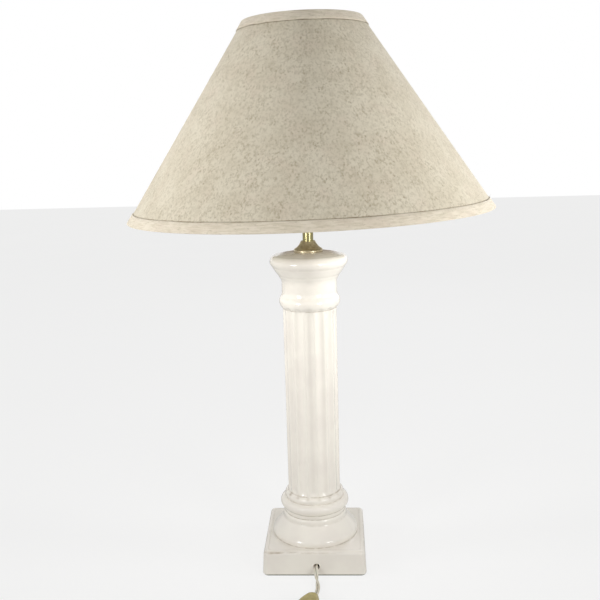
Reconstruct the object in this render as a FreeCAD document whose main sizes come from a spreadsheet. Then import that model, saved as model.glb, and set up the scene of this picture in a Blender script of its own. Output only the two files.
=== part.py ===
import FreeCAD, Part
import Sketcher
import math
import os

from FreeCAD import Placement, Rotation, Vector

# Column table lamp: a hollow ceramic column on a square plinth, a threaded pipe through it that clamps the
# brass fittings, a keyless socket, a harp with a swivel stud, an empire shade on a spider, and a two-core
# cord with an in-line rotary switch, put away as a coil.
# Millimetres, +Z up, origin on the table under the column's axis. The cord leaves on the -Y side.

doc = FreeCAD.newDocument("column_table_lamp")

SIZES = {
    # ceramic column
    "felt_thickness": 1.0,
    "felt_inset": 1.5,
    "plinth_side": 131.0,
    "plinth_height": 30.8,
    "plinth_draft": 3.0,
    "plinth_corner": 6.0,
    "plinth_edge": 4.5,
    "plinth_foot_edge": 2.0,
    "bell_radius": 55.8,
    "bell_round": 5.5,
    "bell_lift": 4.0,
    "bell_turn": 3.5,
    "bell_cove": 5.0,
    "band_radius": 41.0,
    "band_height": 21.8,
    "band_round": 1.5,
    "scotia_depth": 1.3,
    "torus_radius": 44.4,
    "torus_round": 7.2,
    "torus_rise": 11.7,
    "ring_radius": 38.4,
    "ring_round": 5.4,
    "ring_rise": 10.5,
    "shaft_radius": 34.0,
    "shaft_height": 242.3,
    "flute_count": 16,
    "flute_round": 9.5,
    "flute_depth": 2.0,
    "flute_bite": 1.0,
    "astragal_radius": 38.2,
    "astragal_round": 10.85,
    "neck_radius": 34.5,
    "neck_height": 14.9,
    "flare_out": 2.0,
    "flare_up": 6.6,
    "rim_radius": 48.5,
    "rim_round": 7.84,
    "rim_rise": 27.0,
    "rim_undercut": 4.3,
    "crown_radius": 19.0,
    "crown_rise": 3.5,
    # inside of the casting
    "casting_wall": 5.0,
    "foot_wall": 7.0,
    "foot_ceiling": 6.0,
    "well_radius": 20.0,
    "well_depth": 4.7,
    "web_thickness": 6.0,
    "cap_thickness": 6.0,
    "cord_hole_radius": 3.75,
    "cord_hole_side": 2.7,
    "cord_hole_height": 12.5,
    # pipe and its clamp
    "pipe_radius": 4.9,
    "pipe_bore_radius": 3.5,
    "pipe_clearance": 0.6,
    "pipe_tail": 1.5,
    "washer_radius": 15.0,
    "washer_thickness": 1.5,
    "lock_washer_radius": 8.5,
    "lock_washer_thickness": 1.0,
    "nut_flats": 14.3,
    "nut_thickness": 4.5,
    # brass fittings over the cap
    "vase_cap_radius": 17.9,
    "vase_cap_bead": 4.2,
    "vase_cap_bead_round": 3.15,
    "vase_cap_cove": 21.6,
    "vase_cap_height": 13.1,
    "vase_cap_top_radius": 8.9,
    "vase_cap_wall": 1.2,
    "neck_tube_radius": 6.6,
    "neck_tube_wall": 0.9,
    "neck_tube_length": 25.4,
    # harp saddle, harp and its ferrules
    "strip_thickness": 1.6,
    "saddle_width": 12.0,
    "saddle_flat": 13.0,
    "saddle_lift": 11.0,
    "saddle_reach": 33.0,
    "tab_offset": 27.0,
    "tab_width": 4.6,
    "tab_height": 12.5,
    "harp_wire": 3.2,
    "harp_gap": 0.3,
    "harp_leg": 21.0,
    "harp_bend": 25.0,
    "harp_lean": 35.0,
    "harp_bow_radius": 98.2,
    "harp_half_width": 57.0,
    "harp_top_lean": 28.0,
    "harp_top_bend": 14.0,
    "harp_top_flat": 6.8,
    "harp_plate_radius": 7.5,
    "harp_plate_thickness": 2.6,
    "ferrule_bore": 3.8,
    "ferrule_wall": 0.7,
    "ferrule_length": 14.0,
    # swivel stud, shade and finial; the shade sits a little out of plumb on its stud
    "shade_lean": 1.15,
    "stud_neck_radius": 2.0,
    "stud_running": 0.07,
    "stud_gap": 0.42,
    "seat_gap": 0.1,
    "stud_seat_radius": 6.35,
    "stud_seat_height": 2.5,
    "stud_thread_radius": 3.05,
    "stud_thread_length": 14.0,
    "stud_head_radius": 3.4,
    "stud_head_height": 1.2,
    "spider_washer_radius": 12.5,
    "spider_washer_thickness": 1.3,
    "spider_bore_clearance": 0.35,
    "spider_wire": 2.6,
    "spider_arms": 3,
    "spider_turn": 20.0,
    "notch_gap": 0.2,
    "spider_drop": 15.8,
    "shade_bottom_radius": 222.0,
    "shade_top_radius": 71.0,
    "shade_height": 226.5,
    "ring_wire": 2.6,
    "liner_thickness": 0.6,
    "fabric_thickness": 0.7,
    "glue_gap": 0.05,
    "trim_width": 11.0,
    "trim_thickness": 0.8,
    "trim_return": 4.0,
    "finial_height": 22.0,
    "finial_flange_radius": 5.6,
    "finial_flange_height": 2.0,
    "finial_neck_low": 4.5,
    "finial_cove": 4.0,
    "finial_hollow": 0.5,
    "finial_neck_radius": 4.1,
    "finial_ball_radius": 6.6,
    "finial_running": 0.1,
    # keyless socket and bulb
    "thread_running": 0.1,
    "hub_radius": 7.2,
    "hub_height": 3.2,
    "socket_cap_radius": 17.2,
    "socket_cap_height": 20.0,
    "socket_cap_round": 6.5,
    "brass_sheet": 0.6,
    "socket_shell_radius": 16.4,
    "socket_shell_height": 44.0,
    "shell_overlap": 8.0,
    "liner_tube": 0.6,
    "core_radius": 14.4,
    "core_height": 17.0,
    "core_chamfer": 2.0,
    "screw_shell_radius": 13.4,
    "screw_shell_wall": 0.5,
    "screw_shell_height": 23.0,
    "contact_gap": 2.0,
    "contact_width": 6.0,
    "contact_height": 1.6,
    "terminal_screw_radius": 2.6,
    "terminal_screw_height": 0.4,
    "bulb_base_radius": 13.05,
    "bulb_base_height": 24.0,
    "bulb_tip_radius": 5.0,
    "bulb_tip_height": 3.5,
    "bulb_tip_slope": 1.0,
    "bulb_collar_height": 3.0,
    "bulb_shoulder": 23.0,
    "bulb_swell": 60.0,
    "bulb_seat_gap": 0.4,
    "bulb_radius": 30.0,
    "bulb_length": 110.0,
    "bulb_wall": 1.0,
    # in-line rotary switch on the cord
    "switch_x": 1.5,
    "switch_y": -131.0,
    "switch_heading": -106.0,
    "switch_length": 60.0,
    "switch_half_width": 13.5,
    "switch_end_round": 8.0,
    "switch_height": 19.0,
    "switch_edge": 4.0,
    "switch_foot_edge": 2.2,
    "switch_wall": 2.2,
    "wheel_radius": 12.0,
    "wheel_thickness": 5.0,
    "wheel_offset": 4.6,
    "wheel_gap": 0.6,
    "wheel_notches": 24,
    "wheel_notch_radius": 0.8,
    "axle_radius": 1.6,
    "axle_running": 0.06,
    "switch_screw_radius": 2.4,
    "switch_screw_length": 13.0,
    "switch_screw_place": 48.5,
    "switch_recess": 0.3,
    "cord_insertion": 5.0,
    # cord and plug
    "cord_diameter": 5.3,
    "cord_exit_side": 2.0,
    "cord_exit_height": 11.9,
    "coil_x": 7.0,
    "coil_y": -258.0,
    "coil_mean_radius": 27.0,
    "coil_pitch": 5.85,
    "coil_layer": 5.85,
    "coil_layers": 4,
    "coil_turns_in_layer": 2,
    "plug_x": 58.0,
    "plug_y": -221.0,
    "plug_heading": 75.0,
    "plug_length": 30.0,
    "plug_width": 23.0,
    "plug_height": 13.0,
    "plug_end_width": 8.0,
    "plug_neck": 9.0,
    "plug_neck_width": 18.4,
    "plug_shoulder": 16.5,
    "plug_edge": 3.5,
    "blade_length": 16.0,
    "blade_width": 6.35,
    "blade_thickness": 1.5,
    "blade_spacing": 12.7,
}

sheet = doc.addObject("Spreadsheet::Sheet", "Sizes")
for row, (alias, number) in enumerate(SIZES.items(), start=1):
    sheet.set(f"A{row}", alias)
    sheet.set(f"B{row}", str(number))
    sheet.setAlias(f"B{row}", alias)
doc.recompute()


class Size:
    """A length that keeps its value beside the sheet expression that it comes from."""

    def __init__(self, value, text):
        self.value = float(value)
        self.text = text

    @staticmethod
    def of(other):
        return other if isinstance(other, Size) else Size(other, repr(float(other)))

    def join(self, other, sign, value):
        return Size(value, f"({self.text} {sign} {Size.of(other).text})")

    def __add__(self, other):
        return self.join(other, "+", self.value + Size.of(other).value)

    def __sub__(self, other):
        return self.join(other, "-", self.value - Size.of(other).value)

    def __mul__(self, other):
        return self.join(other, "*", self.value * Size.of(other).value)

    def __truediv__(self, other):
        return self.join(other, "/", self.value / Size.of(other).value)

    def __radd__(self, other):
        return Size.of(other) + self

    def __rsub__(self, other):
        return Size.of(other) - self

    def __rmul__(self, other):
        return Size.of(other) * self

    def __neg__(self):
        return Size(-self.value, f"(-1 * {self.text})")

    def root(self):
        return Size(math.sqrt(self.value), f"sqrt({self.text})")


def size(alias):
    return Size(SIZES[alias], f"Sizes.{alias}")


def leg(hypotenuse, side):
    """The other leg of a right triangle: how far an arc's end lies from its centre."""
    return (hypotenuse * hypotenuse - side * side).root()


# ---- sketches and features -------------------------------------------------------------------------------

PLUNGE = 5.0  # how far one form runs into the next, or a cutter past a face
LINE = "line"
LEFT = 1    # an arc that turns left along the outline
RIGHT = -1  # an arc that turns right


def to(x, y):
    """An outline's next corner, reached in a straight line."""
    return (x, y, LINE, None)


def bend(x, y, radius, turn):
    """An outline's next corner, reached by an arc of less than a half turn."""
    return (x, y, radius, turn)


def new_body(label):
    body = doc.addObject("PartDesign::Body", label)
    body.Label = label
    return body


def origin_feature(body, role):
    return next(f for f in body.Origin.OriginFeatures if f.Role == role)


def new_sketch(body, name, role):
    sketch = body.newObject("Sketcher::SketchObject", f"{body.Name}_{name}")
    sketch.AttachmentSupport = [(origin_feature(body, role), "")]
    sketch.MapMode = "FlatFace"
    return sketch


def pin_point(sketch, geometry, end, x, y):
    """Holds one end of a geometry at x, y, bound to the sheet where they are sizes."""
    for along, value, axis in (("DistanceX", Size.of(x), -2), ("DistanceY", Size.of(y), -1)):
        if value.value == 0.0:
            sketch.addConstraint(Sketcher.Constraint("PointOnObject", geometry, end, axis))
            continue
        index = sketch.addConstraint(Sketcher.Constraint(along, -1, 1, geometry, end, value.value))
        sketch.setExpression(f"Constraints[{index}]", value.text)


def draw_outline(sketch, corners):
    """Draws a closed outline through corners; corner 0 is the start and its own segment closes it."""
    count = len(corners)
    places = [Vector(Size.of(c[0]).value, Size.of(c[1]).value, 0) for c in corners]
    ends = []
    for i in range(count):
        start, end = places[i], places[(i + 1) % count]
        _, _, radius, turn = corners[(i + 1) % count]
        if radius is LINE:
            g = sketch.addGeometry(Part.LineSegment(start, end), False)
            ends.append((g, 1, 2))
            continue
        r = Size.of(radius)
        chord = end - start
        half = chord.Length / 2
        normal = Vector(-chord.y, chord.x, 0).normalize()
        centre = (start + end) * 0.5 + normal * (turn * math.sqrt(max(r.value**2 - half**2, 0.0)))
        first, last = (start, end) if turn == LEFT else (end, start)
        a0 = math.atan2(first.y - centre.y, first.x - centre.x)
        a1 = math.atan2(last.y - centre.y, last.x - centre.x)
        if a1 < a0:
            a1 += 2 * math.pi
        circle = Part.Circle(centre, Vector(0, 0, 1), r.value)
        g = sketch.addGeometry(Part.ArcOfCircle(circle, a0, a1), False)
        ends.append((g, 1, 2) if turn == LEFT else (g, 2, 1))
    for i in range(count):
        g, _, tail = ends[i]
        following, head, _ = ends[(i + 1) % count]
        sketch.addConstraint(Sketcher.Constraint("Coincident", g, tail, following, head))
    for i in range(count):
        g, head, _ = ends[i]
        pin_point(sketch, g, head, corners[i][0], corners[i][1])
        radius = corners[(i + 1) % count][2]
        if radius is not LINE:
            index = sketch.addConstraint(Sketcher.Constraint("Radius", g, Size.of(radius).value))
            sketch.setExpression(f"Constraints[{index}]", Size.of(radius).text)


def draw_circle(sketch, x, y, radius):
    r = Size.of(radius)
    centre = Vector(Size.of(x).value, Size.of(y).value, 0)
    g = sketch.addGeometry(Part.Circle(centre, Vector(0, 0, 1), r.value), False)
    pin_point(sketch, g, 3, x, y)
    index = sketch.addConstraint(Sketcher.Constraint("Radius", g, r.value))
    sketch.setExpression(f"Constraints[{index}]", r.text)


def revolve(body, name, corners, cut=False, x=0.0):
    """Turns an outline in the XZ plane round an upright axis."""
    sketch = new_sketch(body, name, "XZ_Plane")
    place_sketch(sketch, x=x)
    draw_outline(sketch, corners)
    kind = "PartDesign::Groove" if cut else "PartDesign::Revolution"
    feature = body.newObject(kind, f"{body.Name}_{name}_turn")
    feature.Profile = sketch
    feature.ReferenceAxis = (sketch, ["V_Axis"])
    feature.Angle = 360.0
    return feature


def turned(label, corners):
    body = new_body(label)
    revolve(body, "profile", corners)
    return body


def place_sketch(sketch, x=0.0, y=0.0, z=0.0, rotation=Rotation()):
    """Shifts a sketch from its plane, in the plane's own axes."""
    values = [Size.of(v) for v in (x, y, z)]
    sketch.AttachmentOffset = Placement(Vector(*[v.value for v in values]), rotation)
    for axis, v in zip("xyz", values):
        if v.value != 0.0:
            sketch.setExpression(f"AttachmentOffset.Base.{axis}", v.text)


def pad(body, sketch, length, middle=False, backwards=False):
    feature = body.newObject("PartDesign::Pad", f"{sketch.Name}_pad")
    feature.Profile = sketch
    feature.setExpression("Length", Size.of(length).text)
    feature.Midplane = middle
    feature.Reversed = backwards
    return feature


def pocket(body, sketch, length, middle=False, backwards=False):
    feature = body.newObject("PartDesign::Pocket", f"{sketch.Name}_pocket")
    feature.Profile = sketch
    feature.setExpression("Length", Size.of(length).text)
    feature.Midplane = middle
    feature.Reversed = backwards
    return feature


def round_edges(body, feature, radius, wanted):
    """Fillets the edges of a feature whose centre passes the test."""
    doc.recompute()
    names = [f"Edge{i}" for i, e in enumerate(feature.Shape.Edges, start=1) if wanted(e)]
    fillet = body.newObject("PartDesign::Fillet", f"{feature.Name}_round")
    fillet.Base = (feature, names)
    fillet.setExpression("Radius", Size.of(radius).text)
    body.Tip = fillet
    return fillet


def repeat_round(body, feature, count):
    """Repeats a feature round the body's Z axis."""
    pattern = body.newObject("PartDesign::PolarPattern", f"{feature.Name}_pattern")
    pattern.Originals = [feature]
    pattern.Axis = (origin_feature(body, "Z_Axis"), [""])
    pattern.Angle = 360.0
    pattern.Occurrences = int(Size.of(count).value)
    pattern.setExpression("Occurrences", Size.of(count).text)
    body.Tip = pattern
    return pattern


def at_height(height):
    """A test for edges that lie level at a height."""
    def wanted(edge):
        box = edge.BoundBox
        return abs(box.ZMin - height) < 0.01 and abs(box.ZMax - height) < 0.01
    return wanted


def rounded_square(half, corner):
    """Corners of a square of half its side, with arcs of a quarter turn."""
    inner = half - corner
    return [
        to(inner, -half), bend(half, -inner, corner, LEFT),
        to(half, inner), bend(inner, half, corner, LEFT),
        to(-inner, half), bend(-half, inner, corner, LEFT),
        to(-half, -inner), bend(-inner, -half, corner, LEFT),
    ]


def cylinder(label, radius, height, z):
    solid = doc.addObject("Part::Cylinder", label)
    solid.setExpression("Radius", Size.of(radius).text)
    solid.setExpression("Height", Size.of(height).text)
    solid.Placement.Base = Vector(0, 0, Size.of(z).value)
    solid.setExpression("Placement.Base.z", Size.of(z).text)
    return solid


def cut(label, base, tool):
    result = doc.addObject("Part::Cut", label)
    result.Base = base
    result.Tool = tool
    result.Label = label
    return result


def disc_with_hole(label, radius, bore, thickness, z):
    base = cylinder(f"{label}_disc", radius, thickness, z)
    tool = cylinder(f"{label}_bore", bore, thickness + 2 * PLUNGE, z - PLUNGE)
    return cut(label, base, tool)


# ---- the ceramic column ----------------------------------------------------------------------------------

plinth_half = size("plinth_side") / 2
plinth_top = size("felt_thickness") + size("plinth_height")

bell_core = size("bell_radius") - size("bell_round")
bell_z = plinth_top + size("bell_lift")
bell_top = bell_z + size("bell_round")
bell_foot_radius = bell_core + leg(size("bell_round"), size("bell_lift"))
bell_turn_out = leg(size("bell_round"), size("bell_turn"))
slope_low_radius = bell_core + bell_turn_out
slope_low_z = bell_z + size("bell_turn")
slope_high_radius = size("band_radius") + size("bell_cove") \
    - size("bell_cove") * bell_turn_out / size("bell_round")
slope_high_z = slope_low_z + (slope_low_radius - slope_high_radius) * bell_turn_out / size("bell_turn")
cove_z = slope_high_z + size("bell_cove") * size("bell_turn") / size("bell_round")

band_top = bell_top + size("band_height")
scotia_edge = size("band_radius") - size("band_round")
torus_core = size("torus_radius") - size("torus_round")
torus_z = band_top + size("torus_rise")
torus_top = torus_z + size("torus_round")
scotia_top = torus_z - leg(size("torus_round"), scotia_edge - torus_core)
scotia_chord = scotia_top - band_top
scotia_round = (scotia_chord * scotia_chord / 4 + size("scotia_depth") * size("scotia_depth")) \
    / (2 * size("scotia_depth"))

ring_core = size("ring_radius") - size("ring_round")
ring_z = torus_z + size("ring_rise")
ring_foot_radius = ring_core + leg(size("ring_round"), ring_z - torus_top)
shaft_foot = ring_z + leg(size("ring_round"), size("shaft_radius") - ring_core)
shaft_top = shaft_foot + size("shaft_height")

astragal_core = size("astragal_radius") - size("astragal_round")
astragal_z = shaft_top + leg(size("astragal_round"), size("shaft_radius") - astragal_core)
neck_foot = astragal_z + leg(size("astragal_round"), size("neck_radius") - astragal_core)
neck_top = neck_foot + size("neck_height")
flare_round = (size("flare_out") * size("flare_out") + size("flare_up") * size("flare_up")) \
    / (2 * size("flare_out"))
rim_core = size("rim_radius") - size("rim_round")
rim_z = neck_top + size("rim_rise")
rim_start_radius = rim_core + leg(size("rim_round"), size("rim_undercut"))
rim_top = rim_z + size("rim_round")
cap_top = rim_top + size("crown_rise")

well_ceiling = plinth_top - size("foot_ceiling") + size("well_depth")
web_top = well_ceiling + size("web_thickness")
bore_radius = size("shaft_radius") - size("flute_depth") - size("casting_wall")
throat_radius = scotia_edge - size("scotia_depth") - size("casting_wall")
pipe_way = size("pipe_radius") + size("pipe_clearance")


def column_body():
    body = new_body("column_body")
    plan = new_sketch(body, "plan", "XY_Plane")
    place_sketch(plan, z=size("felt_thickness"))
    draw_outline(plan, rounded_square(plinth_half, size("plinth_corner")))
    block = pad(body, plan, size("plinth_height"))
    block.TaperAngle = -SIZES["plinth_draft"]
    block.setExpression("TaperAngle", "-1 * Sizes.plinth_draft")
    top = round_edges(body, block, size("plinth_edge"), at_height(plinth_top.value))
    round_edges(body, top, size("plinth_foot_edge"), at_height(size("felt_thickness").value))

    revolve(body, "column", [
        to(0, plinth_top - PLUNGE),
        to(bell_foot_radius, plinth_top - PLUNGE),
        to(bell_foot_radius, plinth_top),
        bend(slope_low_radius, slope_low_z, size("bell_round"), LEFT),
        to(slope_high_radius, slope_high_z),
        bend(size("band_radius"), cove_z, size("bell_cove"), RIGHT),
        to(size("band_radius"), band_top - size("band_round")),
        bend(scotia_edge, band_top, size("band_round"), LEFT),
        bend(scotia_edge, scotia_top, scotia_round, RIGHT),
        bend(torus_core, torus_top, size("torus_round"), LEFT),
        to(ring_foot_radius, torus_top),
        bend(size("shaft_radius"), shaft_foot, size("ring_round"), LEFT),
        to(size("shaft_radius"), shaft_top),
        bend(size("neck_radius"), neck_foot, size("astragal_round"), LEFT),
        to(size("neck_radius"), neck_top),
        bend(size("neck_radius") + size("flare_out"), neck_top + size("flare_up"), flare_round, RIGHT),
        to(rim_start_radius, rim_z - size("rim_undercut")),
        bend(rim_core, rim_top, size("rim_round"), LEFT),
        to(size("crown_radius"), cap_top),
        to(0, cap_top),
    ])
    revolve(body, "cavity", [
        to(0, web_top),
        to(slope_low_radius - 2 * size("casting_wall"), web_top),
        to(slope_low_radius - 2 * size("casting_wall"), slope_low_z),
        to(throat_radius, cove_z),
        to(throat_radius, torus_z),
        to(bore_radius, ring_z),
        to(bore_radius, rim_top - size("cap_thickness")),
        to(0, rim_top - size("cap_thickness")),
    ], cut=True)
    revolve(body, "pipe_way", [
        to(0, plinth_top - size("foot_ceiling") - PLUNGE),
        to(pipe_way, plinth_top - size("foot_ceiling") - PLUNGE),
        to(pipe_way, cap_top + PLUNGE),
        to(0, cap_top + PLUNGE),
    ], cut=True)

    foot = new_sketch(body, "foot", "XY_Plane")
    draw_outline(foot, rounded_square(plinth_half - size("foot_wall"), size("plinth_corner")))
    pocket(body, foot, plinth_top - size("foot_ceiling"), backwards=True)
    well = new_sketch(body, "well", "XY_Plane")
    draw_circle(well, 0, 0, size("well_radius"))
    pocket(body, well, well_ceiling, backwards=True)
    hole = new_sketch(body, "cord_hole", "XZ_Plane")
    draw_circle(hole, size("cord_hole_side"), size("cord_hole_height"), size("cord_hole_radius"))
    pocket(body, hole, plinth_half + PLUNGE, backwards=True)

    half_width = leg(size("flute_round"), size("flute_round") - size("flute_depth"))
    overshoot = size("flute_round") - half_width + size("flute_bite")
    low = shaft_foot - overshoot + 2 * size("flute_bite")
    high = shaft_top + overshoot
    flute = new_sketch(body, "flute", "XZ_Plane")
    turn = 180.0 / SIZES["flute_count"]
    distance = size("shaft_radius") - size("flute_depth") + size("flute_round")
    place_sketch(flute, x=distance * math.cos(math.radians(turn)), z=-distance * math.sin(math.radians(turn)),
                 rotation=Rotation(Vector(0, 1, 0), turn))
    draw_outline(flute, [
        to(0, low),
        bend(size("flute_round"), low + size("flute_round"), size("flute_round"), LEFT),
        to(size("flute_round"), high - size("flute_round")),
        bend(0, high, size("flute_round"), LEFT),
    ])
    groove = body.newObject("PartDesign::Groove", "flute_cut")
    groove.Profile = flute
    groove.ReferenceAxis = (flute, ["V_Axis"])
    groove.Angle = 360.0
    repeat_round(body, groove, size("flute_count"))
    return body


def felt_pad():
    body = new_body("felt_pad")
    plan = new_sketch(body, "plan", "XY_Plane")
    draw_outline(plan, rounded_square(plinth_half - size("felt_inset"), size("plinth_corner")))
    pad(body, plan, size("felt_thickness"))
    return body


# ---- the pipe and what it clamps -------------------------------------------------------------------------

base_washer_z = well_ceiling - size("washer_thickness")
lock_washer_z = base_washer_z - size("lock_washer_thickness")
nut_z = lock_washer_z - size("nut_thickness")
pipe_foot = nut_z - size("pipe_tail")
vase_cap_top = cap_top + size("vase_cap_height")
saddle_z = vase_cap_top + size("neck_tube_length")
socket_z = saddle_z + size("strip_thickness")
pipe_top = socket_z + size("hub_height") + size("strip_thickness")


def pipe_nut():
    prism = doc.addObject("Part::Prism", "pipe_nut_prism")
    prism.Polygon = 6
    prism.setExpression("Circumradius", (size("nut_flats") / math.sqrt(3.0)).text)
    prism.setExpression("Height", size("nut_thickness").text)
    prism.setExpression("Placement.Base.z", nut_z.text)
    bore = cylinder("pipe_nut_bore", pipe_way, size("nut_thickness") + 2 * PLUNGE, nut_z - PLUNGE)
    return cut("pipe_nut", prism, bore)


def vase_cap():
    bead = size("vase_cap_bead")
    wall = size("vase_cap_wall")
    foot = size("vase_cap_radius")
    waist = foot - wall * 2
    top = size("vase_cap_top_radius")
    return turned("vase_cap", [
        to(pipe_way + wall * 2, cap_top),
        to(foot, cap_top),
        bend(waist, cap_top + bead, size("vase_cap_bead_round"), LEFT),
        bend(top, vase_cap_top, size("vase_cap_cove"), RIGHT),
        to(pipe_way, vase_cap_top),
        to(pipe_way, vase_cap_top - wall),
        to(top - wall, vase_cap_top - wall),
        bend(waist - wall, cap_top + bead - wall, size("vase_cap_cove"), LEFT),
        to(pipe_way + wall * 2, cap_top + bead - wall),
    ])


def neck_tube():
    outer = size("neck_tube_radius")
    return disc_with_hole("neck_tube", outer, outer - size("neck_tube_wall"), size("neck_tube_length"),
                          vase_cap_top)


# ---- harp saddle, harp, ferrules -------------------------------------------------------------------------

shoulder_z = saddle_z + size("saddle_lift")
shoulder_top = shoulder_z + size("strip_thickness")
leg_x = size("tab_offset") + size("strip_thickness") / 2 + size("harp_gap") + size("harp_wire") / 2
leg_z = shoulder_top + size("harp_gap")
ferrule_x = (size("tab_offset") - size("strip_thickness") / 2 + leg_x + size("harp_wire") / 2) / 2


def harp_saddle():
    body = new_body("harp_saddle")
    t = size("strip_thickness")
    flat, reach = size("saddle_flat"), size("saddle_reach")
    inner = size("tab_offset") - t / 2 - t
    strip = new_sketch(body, "strip", "XZ_Plane")
    draw_outline(strip, [
        to(-flat, saddle_z), to(flat, saddle_z),
        to(inner + t / 2, shoulder_z), to(reach, shoulder_z), to(reach, shoulder_top),
        to(inner, shoulder_top), to(flat - t / 2, saddle_z + t),
        to(-flat + t / 2, saddle_z + t), to(-inner, shoulder_top),
        to(-reach, shoulder_top), to(-reach, shoulder_z), to(-inner - t / 2, shoulder_z),
    ])
    pad(body, strip, size("saddle_width"), middle=True)
    for name, side in (("right_tab", 1.0), ("left_tab", -1.0)):
        tab = new_sketch(body, name, "XZ_Plane")
        near = (size("tab_offset") - t / 2) * side
        far = (size("tab_offset") + t / 2) * side
        low, high = (near, far) if side > 0 else (far, near)
        top = shoulder_top + size("tab_height")
        draw_outline(tab, [to(low, shoulder_z), to(high, shoulder_z), to(high, top), to(low, top)])
        pad(body, tab, size("tab_width"), middle=True)
    hole = new_sketch(body, "hole", "XY_Plane")
    place_sketch(hole, z=saddle_z - PLUNGE)
    draw_circle(hole, 0, 0, pipe_way)
    pocket(body, hole, size("strip_thickness") + 2 * PLUNGE, backwards=True)
    return body


def harp_outline():
    """Right half of the harp's centre line, from the leg's foot to the middle of its top."""
    n = {k: v for k, v in SIZES.items()}
    lean, top_lean = math.radians(n["harp_lean"]), math.radians(n["harp_top_lean"])
    x, z = leg_x.value, leg_z.value
    foot = Vector(x, 0, z)
    knee = Vector(x, 0, z + n["harp_leg"])
    bend_r, bow_r, top_r = n["harp_bend"], n["harp_bow_radius"], n["harp_top_bend"]

    def first(angle):
        return Vector(knee.x + bend_r * (1 - math.cos(angle)), 0, knee.z + bend_r * math.sin(angle))

    hip = first(lean)
    bow_x = n["harp_half_width"] - bow_r
    slope_x = bow_x + bow_r * math.cos(lean)
    slope_z = hip.z + (slope_x - hip.x) / math.tan(lean)
    bow_z = slope_z + bow_r * math.sin(lean)

    def bow(angle):
        return Vector(bow_x + bow_r * math.cos(angle), 0, bow_z + bow_r * math.sin(angle))

    shoulder = bow(top_lean)
    corner_x = n["harp_top_flat"] + top_r * math.cos(top_lean)
    corner = Vector(corner_x, 0, shoulder.z + (shoulder.x - corner_x) / math.tan(top_lean))
    centre = Vector(n["harp_top_flat"], 0, corner.z - top_r * math.sin(top_lean))

    def crown(angle):
        return Vector(centre.x + top_r * math.cos(angle), 0, centre.z + top_r * math.sin(angle))

    middle = (top_lean + math.pi / 2) / 2
    end = crown(math.pi / 2)
    return [
        Part.LineSegment(foot, knee),
        Part.Arc(knee, first(lean / 2), hip),
        Part.LineSegment(hip, bow(-lean)),
        Part.Arc(bow(-lean), bow(0.0), shoulder),
        Part.LineSegment(shoulder, corner),
        Part.Arc(corner, crown(middle), end),
        Part.LineSegment(end, Vector(0, 0, end.z)),
    ]


harp_half = harp_outline()
harp_top_z = harp_half[-1].EndPoint.z  # centre line of the wire at the top
plate_z = harp_top_z - SIZES["harp_plate_thickness"] / 2
pivot_z = harp_top_z                   # the shade leans about the middle of the harp's top plate


def harp_bow():
    wire_r = SIZES["harp_wire"] / 2
    right = Part.Wire([g.toShape() for g in harp_half])
    left = right.mirror(Vector(0, 0, 0), Vector(1, 0, 0))
    spine = Part.Wire(Part.__sortEdges__(right.Edges + left.Edges))
    foot = Vector(leg_x.value, 0, leg_z.value)
    section = Part.Wire([Part.Circle(foot, Vector(0, 0, 1), wire_r).toShape()])
    rod = spine.makePipeShell([section], True, False)
    thick = SIZES["harp_plate_thickness"]
    plate = Part.makeCylinder(SIZES["harp_plate_radius"], thick, Vector(0, 0, plate_z))
    hole_r = SIZES["stud_neck_radius"] + SIZES["stud_running"]
    hole = Part.makeCylinder(hole_r, thick + 2 * PLUNGE, Vector(0, 0, plate_z - PLUNGE))
    obj = doc.addObject("Part::Feature", "harp_bow")
    obj.Label = "harp_bow"
    obj.Shape = rod.fuse(plate).removeSplitter().cut(hole)
    return obj


def ferrule(label, side):
    bore = size("ferrule_bore")
    tube = disc_with_hole(label, bore + size("ferrule_wall"), bore, size("ferrule_length"), leg_z)
    tube.Placement.Base = Vector(side * ferrule_x.value, 0, 0)
    tube.setExpression("Placement.Base.x", (side * ferrule_x).text)
    return tube


# ---- swivel stud, shade, finial: drawn upright about the pivot, then leaned ------------------------------

def lean(obj):
    """Leans an upright object drawn about the pivot: to the left, seen from the cord's side."""
    obj.Placement = Placement(Vector(0, 0, pivot_z), Rotation(Vector(0, -1, 0), SIZES["shade_lean"]))
    obj.setExpression("Placement.Rotation.Angle", "Sizes.shade_lean * 1 deg")
    return obj


plate_half = size("harp_plate_thickness") / 2
seat_low = plate_half + size("stud_gap")
seat_top = seat_low + size("stud_seat_height")
stud_top = seat_top + size("stud_thread_length")
washer_low = seat_top + size("seat_gap")
washer_top = washer_low + size("spider_washer_thickness")
finial_low = washer_top + size("seat_gap")
spider_bore = size("stud_thread_radius") + size("spider_bore_clearance")
shade_top_z = washer_top + size("spider_drop")
shade_bottom_z = shade_top_z - size("shade_height")
slant_run = size("shade_bottom_radius") - size("shade_top_radius")
slant = (slant_run * slant_run + size("shade_height") * size("shade_height")).root()
flare_slope = slant_run / size("shade_height")
level = slant / size("shade_height")   # a wall's level width for each millimetre of its thickness


def shade_radius(z, inset):
    """Radius of the shade's cone at a height, a wall's thickness inside its outer face."""
    return size("shade_bottom_radius") - (z - shade_bottom_z) * flare_slope - inset * level


def swivel_stud():
    neck = size("stud_neck_radius")
    head_top = -seat_low
    head_low = head_top - size("stud_head_height")
    return lean(turned("swivel_stud", [
        to(0, head_low),
        to(size("stud_head_radius"), head_low),
        to(size("stud_head_radius"), head_top),
        to(neck, head_top),
        to(neck, seat_low),
        to(size("stud_seat_radius"), seat_low),
        to(size("stud_seat_radius"), seat_top),
        to(size("stud_thread_radius"), seat_top),
        to(size("stud_thread_radius"), stud_top),
        to(0, stud_top),
    ]))


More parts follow.
